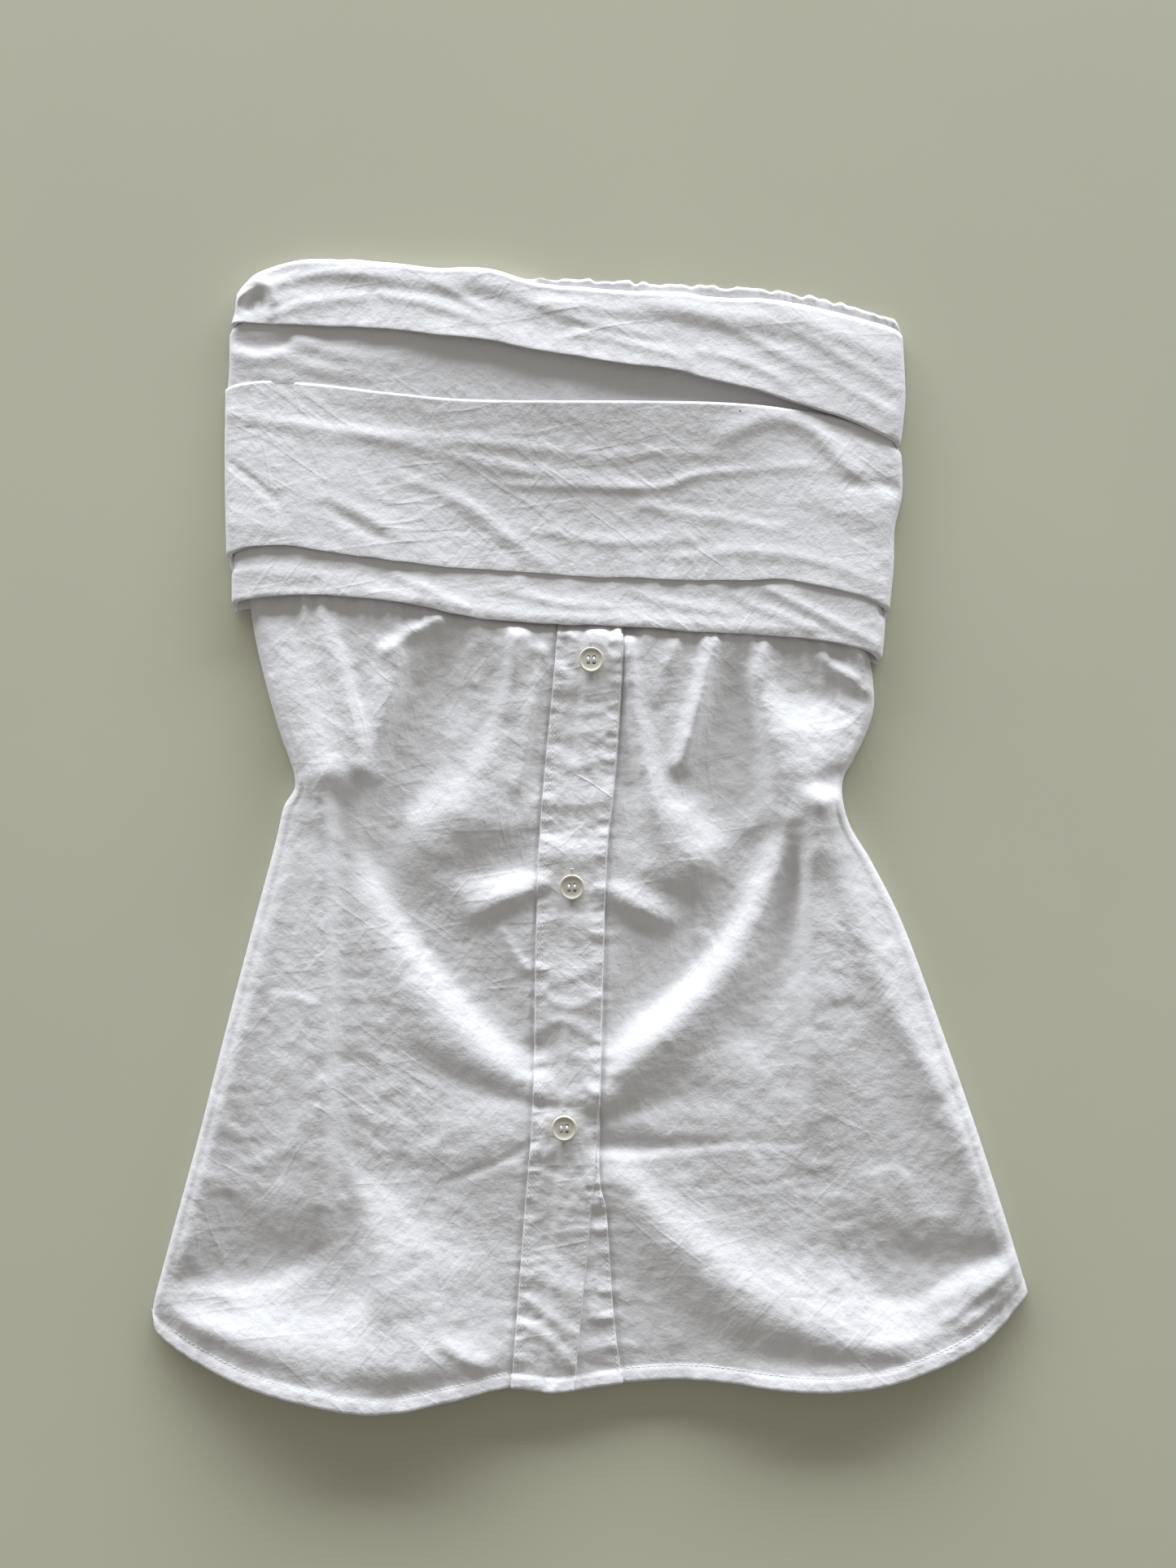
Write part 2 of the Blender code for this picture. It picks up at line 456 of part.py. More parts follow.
def half_front(side, inner_line, shares, columns, foot_share, inset=0.0):
    """Plan of one side of the front: columns from the side fold, set in by a distance, to the placket."""
    width = np.abs(inner_line[:, 0] - side[:, 0])
    roll = (inset + (SIDE_ROLL - inset) * (1 - np.cos(ROLL_ANGLES)))[None, :] / width[:, None]
    start = SIDE_ROLL / width[:, None]
    inner = start + (1 - start) * np.linspace(0, 1, columns + 1)[None, 1:]
    across = np.concatenate([roll, inner], axis=1)
    upper = side[0] * (1 - across[..., None]) + inner_line[0] * across[..., None]
    upper[..., 1] = band_line(upper[..., 0])
    foot = along(HEM, foot_share[0] + (foot_share[1] - foot_share[0]) * across.ravel())
    lower = foot.reshape(across.shape + (2,))
    return coons(side, inner_line, upper, lower, shares, across)


def foot_at(x):
    """Share along the hem of the point at x."""
    shares = np.linspace(0, 1, 400)
    return float(np.interp(x, along(HEM, shares)[:, 0], shares))


def front_plan(shares):
    """Plan points of the whole front, and the columns where its pieces begin and end."""
    left_side = along(LEFT_SIDE, shares)
    right_side = along(RIGHT_SIDE, shares)
    placket_left = line_rows(PLACKET_LEFT, shares)
    placket_right = line_rows(PLACKET_RIGHT, shares)
    tuck = placket_left + (TUCK, 0)
    tuck_right = tuck + (GAP + 0.1, 0)
    under_start = placket_left + (UNDER_START, 0)
    under_edge = placket_right.copy()
    under_edge[:, 0] += x_at(UNDER_SHOWS, placket_right[:, 1])
    start_y = band_line(under_edge[0, 0])
    under_edge[:, 1] = start_y + (y_at(HEM, under_edge[-1, 0]) - start_y) * shares
    left_foot, right_foot = foot_at(placket_left[-1, 0]), foot_at(under_edge[-1, 0])
    left_halves = [half_front(left_side, placket_left, shares, LEFT_COLUMNS, (0.0, left_foot), inset)
                   for inset in (0.0, WALL)]
    right_halves = [half_front(right_side, under_edge, shares, RIGHT_COLUMNS, (1.0, right_foot), inset)
                    for inset in (0.0, WALL)]
    left = side_of(left_halves, [tuck], True)
    right = side_of(right_halves, [tuck_right, under_start, placket_right], False)
    strip = np.stack([placket_left, tuck, under_start, placket_right], axis=1)
    under = np.stack([under_start, placket_right, under_edge], axis=1)
    return left, right, strip, under


def seat_buttons(height, x, y, relief):
    """Level the cloth under each button."""
    for place in BUTTON_PLACES:
        level = relief.at(place.x, place.y)
        near = 1 - ease(BUTTON_SEAT, 2 * BUTTON_SEAT, np.hypot(x - place.x, y - place.y))
        height = height + (level - height) * near
    return height


def front_heights(plan, relief):
    x, y = plan[..., 0], plan[..., 1]
    return seat_buttons(relief.at(x, y), x, y, relief)


def hem_rise(shape):
    """The turned-up hem stands proud of the panel along the last two rows."""
    rise = np.zeros(shape)
    rise[-2:] = HEM_RISE
    return rise


def front_panel(name, plans, relief, material, outline_first):
    """One front panel: a wall whose outer side fold rolls down to the back."""
    plan, inner_plan = plans
    columns = list(range(len(ROLL_ANGLES)))
    if not outline_first:
        columns = [plan.shape[1] - 1 - k for k in columns]
    height = front_heights(plan, relief)
    outer = np.dstack([plan, height])
    normal = normals_of(outer)
    normal *= np.sign(normal[..., 2:])
    inner = outer - WALL * normal
    for row in (0, -1):
        inner[row] = outer[row] - (0, 0, WALL)
    edge = height[:, columns[-1]]
    for column, angle in zip(columns, ROLL_ANGLES):
        outer[:, column, 2] = RIM + (edge - RIM) * math.sin(angle)
        inner[:, column, :2] = inner_plan[:, column]
        inner[:, column, 2] = RIM + (edge - WALL - RIM) * math.sin(angle)
    outer[..., 2] += hem_rise(height.shape) * np.clip((outer[..., 2] - RIM) / 1.5, 0, 1)
    inner[..., 2] = np.maximum(inner[..., 2], RIM)
    return wall_object(name, outer, inner, material)


def strip_object(name, plan, strips_below, relief, material):
    """A strip sewn on the front: made from the panel's points, moved straight out over what lies below it."""
    rise = hem_rise(plan.shape[:2])
    low = front_heights(plan, relief) + rise + GAP + np.array(strips_below)[None, :] * (WALL + rise + GAP)
    return wall_object(name, np.dstack([plan, low + WALL + rise]), np.dstack([plan, low]), material)


def station_height(stations, x, share):
    """Height of a band layer at x and at a share from its upper end to its lower edge."""
    curve = smooth_rows(stations)
    order = np.argsort(curve[:, 0])
    columns = [np.interp(x, curve[order, 0], curve[order, k]) for k in range(1, curve.shape[1])]
    place = np.clip(share, 0, 1) * (len(columns) - 1)
    whole = np.minimum(place.astype(int), len(columns) - 2)
    part = ease(0, 1, place - whole)
    stack = np.stack(columns)
    index = np.indices(x.shape)
    return stack[(whole,) + tuple(index)] * (1 - part) + stack[(whole + 1,) + tuple(index)] * part


def band_layer(layer, material):
    """One fold of the band: rolled at both sides and turned under along its lower edge."""
    rolled_top = layer.name == "band_top_fold"
    ends = np.linspace(0, 1, BAND_COLUMNS + 1)[1:-1]
    low_extra = INSET_OVERLAP if layer.name == "band_inset" else 0.0
    rows = []
    if rolled_top:
        rows += [("roll", angle) for angle in ROLL_ANGLES[:-1]]
    rows += [("flat", share) for share in layer.shares]
    if layer.radius:
        rows += [("hook", math.radians(a)) for a in (0, 60, 120, 180)] + [("under", layer.depth)]
    outer, inner = [], []
    for kind, value in rows:
        outer_row, inner_row = band_row(layer, kind, value, ends, low_extra)
        outer.append(outer_row)
        inner.append(inner_row)
    return wall_object(layer.name, np.array(outer), np.array(inner), material)


def band_row(layer, kind, value, ends, low_extra):
    """Outer and inner points of one row of a band layer, from the left side fold to the right one."""
    left_table, right_table = layer.sides
    rolled = BAND_ROLL * (1 - np.cos(ROLL_ANGLES))
    first, last = left_table[0].x + BAND_ROLL, right_table[0].x - BAND_ROLL
    x = np.concatenate([left_table[0].x + rolled, first + (last - first) * ends, right_table[0].x - rolled[::-1]])
    result = []
    for inside in (False, True):
        wall = WALL if inside else 0.0
        top = y_at(layer.top, x) + layer.tuck
        low = y_at(layer.low, x) - low_extra
        foot = low + layer.radius
        reach = TOP_ROLL if layer.name == "band_top_fold" else 0.0
        inset = 0.0
        level = station_height(layer.heights, x, np.full(x.shape, value if kind == "flat" else 1.0))
        top_scale = 1.0
        if kind == "roll":
            level = station_height(layer.heights, x, np.zeros(x.shape))
            y = top - wall - (reach - wall) * (1 - math.cos(value))
            top_scale = math.sin(value)
            z = level - wall
        elif kind == "flat":
            y = top - reach + (foot - top + reach) * value
            z = level - wall
        elif kind == "hook":
            y = foot - (layer.radius - wall) * math.sin(value)
            z = level - layer.radius + (layer.radius - wall) * math.cos(value)
            inset = wall + (HOOK_INSET / 2 - wall) * (1 - math.cos(value)) if inside else (
                HOOK_INSET / 2 * (1 - math.cos(value)))
        else:
            y = foot + np.minimum(value, FLAP_SHARE * (top - reach - foot))
            level = station_height(layer.heights, x, (top - reach - y) / (top - reach - foot))
            z = level - 2 * layer.radius + wall
            inset = HOOK_INSET - wall
        if kind in ("roll", "flat"):
            inset = wall
        left = x_at(left_table, y) + inset
        right = x_at(right_table, y) - inset
        roll = BAND_ROLL - (wall if kind in ("roll", "flat") else 0.0)
        curve = roll * (1 - np.cos(ROLL_ANGLES))
        middle_left, middle_right = left[len(ROLL_ANGLES)] + roll, right[-len(ROLL_ANGLES) - 1] - roll
        points_x = np.concatenate([
            left[:len(ROLL_ANGLES)] + curve,
            middle_left + (middle_right - middle_left) * ends,
            (right[-len(ROLL_ANGLES):] - curve[::-1])])
        scale = np.concatenate([np.sin(ROLL_ANGLES), np.ones(len(ends)), np.sin(ROLL_ANGLES)[::-1]])
        points_z = RIM + (z - RIM) * scale * top_scale
        result.append(np.column_stack([points_x, y, points_z]))
    return result


def band_back_outline():
    """Outline of the back of the band, its upper edge drawn in by elastic gathers."""
    x = np.linspace(-163, 143, BACK_GATHERS * 4 + 1)
    wave = GATHER_DEPTH * np.sin(np.linspace(0, 2 * math.pi * BACK_GATHERS, len(x)))
    upper = np.column_stack([x, y_at(BACK_EDGE, x) + wave * ease(-40, -20, x)])
    low_x = np.concatenate([[BACK_SIDES[1][0].x], BACK_SEAM[::-1], [BACK_SIDES[0][0].x]])
    low_y = y_at(LOWER_LOW, low_x) - BACK_BELOW
    shares = np.linspace(0, 1, BACK_SIDE_STEPS)
    left, right = along(BACK_SIDES[0], shares), along(BACK_SIDES[1], shares)
    return np.vstack([upper, right[:0:-1], np.column_stack([low_x, low_y]), left[1:]])


def back_outline():
    """Outline of the back panel: under the front's side folds, just short of its hem."""
    shares = np.linspace(0, 1, 22)
    upper = np.column_stack([BACK_SEAM, y_at(LOWER_LOW, BACK_SEAM) - BACK_BELOW - GAP])
    left = along(LEFT_SIDE, shares)[2:] + (0.4, 0)
    right = along(RIGHT_SIDE, shares)[4:] - (0.4, 0)
    foot = along(HEM, np.linspace(1, 0, 34))[1:-1] + (0, BACK_HEM_INSET)
    return np.vstack([upper, right[:-1], foot, left[::-1]])


def button_object(name, place, seat, material, cutter_mesh):
    """Four-hole button with a raised rim, turned from its profile and drilled."""
    mesh = bpy.data.meshes.new(name)
    bm = bmesh.new()
    radius = BUTTON_DIAMETER / 2
    profile = ((0, 0), (radius - 1.0, 0), (radius, 0.9), (radius - 0.1, BUTTON_THICK - 0.4),
               (radius - 0.7, BUTTON_THICK), (radius - 1.7, BUTTON_THICK - 0.7), (0, BUTTON_THICK - 0.7))
    verts = [bm.verts.new((r * MM, 0, z * MM)) for r, z in profile]
    edges = [bm.edges.new(pair) for pair in zip(verts, verts[1:])]
    bmesh.ops.spin(bm, geom=verts + edges, cent=(0, 0, 0), axis=(0, 0, 1), angle=2 * math.pi, steps=BUTTON_SIDES)
    bmesh.ops.remove_doubles(bm, verts=bm.verts[:], dist=0.00001)
    bmesh.ops.recalc_face_normals(bm, faces=bm.faces[:])
    bm.to_mesh(mesh)
    bm.free()
    item = add_object(name, mesh, material)
    item.location = (place.x * MM, place.y * MM, seat * MM)
    for corner in range(4):
        angle = math.pi / 4 + corner * math.pi / 2
        cutter = bpy.data.objects.new(f"{name}_drill_{corner}", cutter_mesh)
        cutter.parent = item
        reach = HOLE_SPACING / math.sqrt(2)
        cutter.location = (reach * math.cos(angle) * MM, reach * math.sin(angle) * MM, BUTTON_THICK / 2 * MM)
        cutter.hide_render = True
        cutter.display_type = "WIRE"
        bpy.context.scene.collection.objects.link(cutter)
        cut = item.modifiers.new(f"hole_{corner}", "BOOLEAN")
        cut.operation = "DIFFERENCE"
        cut.object = cutter
    return item


def drill_mesh():
    mesh = bpy.data.meshes.new("button_drill")
    bm = bmesh.new()
    bmesh.ops.create_cone(bm, cap_ends=True, segments=8, radius1=HOLE_DIAMETER / 2 * MM,
                          radius2=HOLE_DIAMETER / 2 * MM, depth=3 * BUTTON_THICK * MM)
    bm.to_mesh(mesh)
    bm.free()
    return mesh


def build():
    clear_scene()
    relief = Relief()
    shares = body_rows()
    left, right, strip, under = front_plan(shares)

    front_panel("front_left", left, relief, cloth_material("front_left_cotton", COTTON, 0.85), True)
    front_panel("front_right", right, relief, cloth_material("front_right_cotton", COTTON, 0.85), False)
    strip_object("under_placket", under, (0, 0, 0), relief, cloth_material("under_placket_cotton", COTTON, 0.85))
    strip_object("placket", strip, (0, 0, 1, 1), relief, cloth_material("placket_cotton", COTTON, 0.85))
    for layer in BAND_LAYERS:
        band_layer(layer, cloth_material(layer.name + "_cotton", COTTON, 0.85))
    plate_object("band_back", band_back_outline(), cloth_material("band_back_cotton", COTTON, 0.85))
    plate_object("back", back_outline(), cloth_material("back_cotton", COTTON, 0.85))

    drill = drill_mesh()
    for number, place in enumerate(BUTTON_PLACES, start=1):
        seat = float(relief.at(place.x, place.y)) + 2 * (WALL + GAP) + GAP
        button_object(f"button_{number}", place, seat, cloth_material(f"button_{number}_cream", BUTTON_CREAM, 0.35),
                      drill)


build()
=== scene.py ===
import json
import math
from collections import namedtuple

import bmesh
import bpy
import numpy as np
from mathutils import Matrix

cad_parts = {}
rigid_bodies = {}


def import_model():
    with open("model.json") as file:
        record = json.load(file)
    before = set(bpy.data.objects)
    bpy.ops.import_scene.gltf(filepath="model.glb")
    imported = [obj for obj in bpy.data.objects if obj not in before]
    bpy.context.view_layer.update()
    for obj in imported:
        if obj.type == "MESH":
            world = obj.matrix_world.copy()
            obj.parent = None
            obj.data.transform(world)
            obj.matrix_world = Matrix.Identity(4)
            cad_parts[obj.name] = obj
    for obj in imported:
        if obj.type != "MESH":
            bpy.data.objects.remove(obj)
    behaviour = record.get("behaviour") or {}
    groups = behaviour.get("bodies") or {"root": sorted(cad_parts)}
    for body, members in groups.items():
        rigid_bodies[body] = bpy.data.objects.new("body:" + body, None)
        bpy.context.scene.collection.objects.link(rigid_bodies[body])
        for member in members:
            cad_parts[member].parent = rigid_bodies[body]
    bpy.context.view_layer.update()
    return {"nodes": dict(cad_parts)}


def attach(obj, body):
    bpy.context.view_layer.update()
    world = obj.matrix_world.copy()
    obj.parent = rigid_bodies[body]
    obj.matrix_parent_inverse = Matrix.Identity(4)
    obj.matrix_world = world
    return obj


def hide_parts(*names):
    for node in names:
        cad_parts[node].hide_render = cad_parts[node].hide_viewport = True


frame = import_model()

MM = 0.001

# Cloth
RIM = 0.5             # height at which the front cloth meets the back along the side folds
GAP = 0.35
PRESSED = 3.0         # height towards which the troughs of the front cloth flatten out
SLOPE_FOOT = 2.0      # height at the foot of the slopes to the side folds
LOWEST = 2.3          # lowest height of the front cloth
SIDE_SHARE = 0.35     # share of the height that is left at the side folds
SIDE_BEND = 1.15
CLOTH = 0.35          # thickness of one layer of cotton
STRIP_CLOTH = 0.8     # thickness of a folded placket
HEM_DEPTH = 6.0
CELL = 1.3            # size of a mesh cell on the panels
STRIP_CELL = 1.0      # size of a mesh cell on the plackets

# Body
BAND_OVERLAP = 5.0
SIDE_ROLL = 6.0
HEM_REACH = 12.0
HEM_FLARE = 1.0       # rise of the hem towards its edge
BACK_HEM_INSET = 2.5
BACK_CELL = 2.2
BACK_COLUMNS = 170
BACK_SEAM_SPAN = (-154, 125)

# Plackets
TUCK = 9.0
UNDER_START = 17.0
STRIP_EDGE = 0.6      # rounding of a placket's folded edges
STRIP_DROP = 0.45     # how much lower they are
STRIP_GAP = 0.3

# Band
BAND_ROLL = 3.6
TOP_ROLL = 4.0
FLAP_SHARE = 0.32
HOOK_INSET = 2.7
BACK_BELOW = 3.5
BAND_BACK_CELL = 1.6
BAND_BACK_SPAN = (-163, 143)
INSET_OVERLAP = 8.0

COTTON_WHITE = 0.79
COTTON_TINT = {"Red": 1.0, "Green": 0.988, "Blue": 0.992}
THREAD_WHITE = (0.80, 0.80, 0.79)
CREAM = (0.65, 0.615, 0.515)

# Buttons and sewing
BUTTON_DIAMETER = 11.5
BUTTON_THICK = 2.3
HOLE_DIAMETER = 1.5
HOLE_SPACING = 2.6
BUTTONHOLE = 15.0
STITCH_PITCH = 2.4
STITCH_LENGTH = 1.9
THREAD = 0.34
THREAD_SIDES = 6
BUTTON_THREAD = 0.4
BUTTONHOLE_THREAD = 0.32
EDGE_STITCH = 1.3     # distance of a seam from the edge that it holds
SECOND_STITCH = 3.0   # the same for the second seam of the placket's left edge
UNDER_SEAM_TOP = -140
HEM_SEAM_END = 190

# Floor, light and camera, in metres
FLOOR_HALF = 3.0
FLOOR_DROP = 0.0004
FLOOR_COLOUR = (0.592, 0.585, 0.45)
LIGHT_PLACE = (0, 6.1, 1.33)
LIGHT_SIZE = (15.2, 1.7)
LIGHT_TILT = -78      # degrees about X
LIGHT_POWER = 1410.0
LIGHT_COLOUR = (0.87, 0.92, 1.0)
ROOM_COLOUR = (1.0, 0.97, 0.905, 1.0)
ROOM_STRENGTH = 0.29
CAMERA_PLACE = (-0.0009, 0.0216, 0.756)
CAMERA_LENS = 37.9    # in millimetres, as the sensor's height
SENSOR_HEIGHT = 36.0

Point = namedtuple("Point", "x y")
Fold = namedtuple("Fold", "name rows ends")


def line(*points):
    """Points of a smooth line in plan, x and y."""
    return tuple(Point(*point) for point in points)


def fold(name, *rows, ends=(1, 1)):
    """Fold or crease. Each row: x, y, height, width to the left and to the right of the line of travel.

    The ends shorten its fall beyond the first and the last row.
    """
    return Fold(name, rows, ends)


def crease(name, left, right, *places):
    """Fold of the same widths all along. Each place: x, y, height."""
    return fold(name, *((*place, left, right) for place in places))


LEFT_SIDE = line(
    (-156.5, 110), (-153, 88), (-148, 67), (-142, 46), (-134.5, 23), (-140, 11), (-144, -6), (-155, -47),
    (-167, -93), (-179, -140), (-193, -191), (-199.6, -216), (-199.6, -224),
)
RIGHT_SIDE = line(
    (127, 87), (128, 79), (129.5, 68), (129.5, 55), (124, 40), (115.5, 23), (118, 5), (129, -14), (143, -42),
    (159, -85), (175, -131), (190, -177), (200, -210),
)
HEM = line(
    (-199.6, -224), (-195, -230.5), (-176, -242), (-148, -253), (-102, -261.5), (-64, -256.8), (-38, -252),
    (-14, -254), (17, -250), (50, -248.6), (88, -252.3), (118, -252.3), (146, -247), (179, -232),
    (200, -210),
)
PLACKET_LEFT = line(
    (-13.8, 104), (-16.5, 70), (-20.3, 31), (-23.3, -9), (-24.8, -60), (-26, -124), (-30, -177), (-36, -256),
)
PLACKET_RIGHT = line(
    (14.4, 104), (13.8, 67), (11.2, 25), (7.6, -10), (6, -60), (3.9, -130), (0, -177), (-7.4, -256),
)
UNDER_SHOWS = line((0.7, 104), (0.7, -128), (7.8, -177), (15.4, -224), (22.5, -256))
BODY_BASE = line(
    (-265, 5.4), (-220, 5.4), (-190, 6.2), (-160, 7), (-120, 7.8), (-80, 8), (-30, 7.2), (0, 6.6), (30, 5.6),
    (55, 5.8), (85, 6.8), (112, 7.4),
)
# Slope down to the side folds: width and y
SIDE_FALL_LEFT = line((9, -230), (9, -120), (10, -60), (9, -10), (4, 30), (6, 110))
SIDE_FALL_RIGHT = line((8, -230), (8, -150), (14, -110), (21, -80), (24, -40), (20, -15), (8, 5), (3.5, 20),
                       (4, 50), (6, 110))
LIP_ROOM = line(
    (-160, 7.8), (-130, 8.2), (-100, 8), (-60, 7.4), (-34, 6), (-24, 4.5), (16, 4.5), (26, 6), (60, 6.9),
    (85, 7.6), (110, 7.8), (134, 6.8),
)
HEM_HEIGHT = line(
    (-199, 3.4), (-175, 7.6), (-145, 12.2), (-110, 14.8), (-80, 14.6), (-50, 10.2), (-30, 7), (-5, 5.8),
    (30, 5.8), (70, 8.6), (105, 12), (140, 10.2), (172, 7.6), (200, 3.4),
)
BUTTON_LEANS = ((-1.5, 1), (1.5, -2), (0.5, 1.5))     # degrees about X and Y
BUTTON_PLACES = line((0.5, 77.7), (-8.1, -25), (-11.7, -133.7))

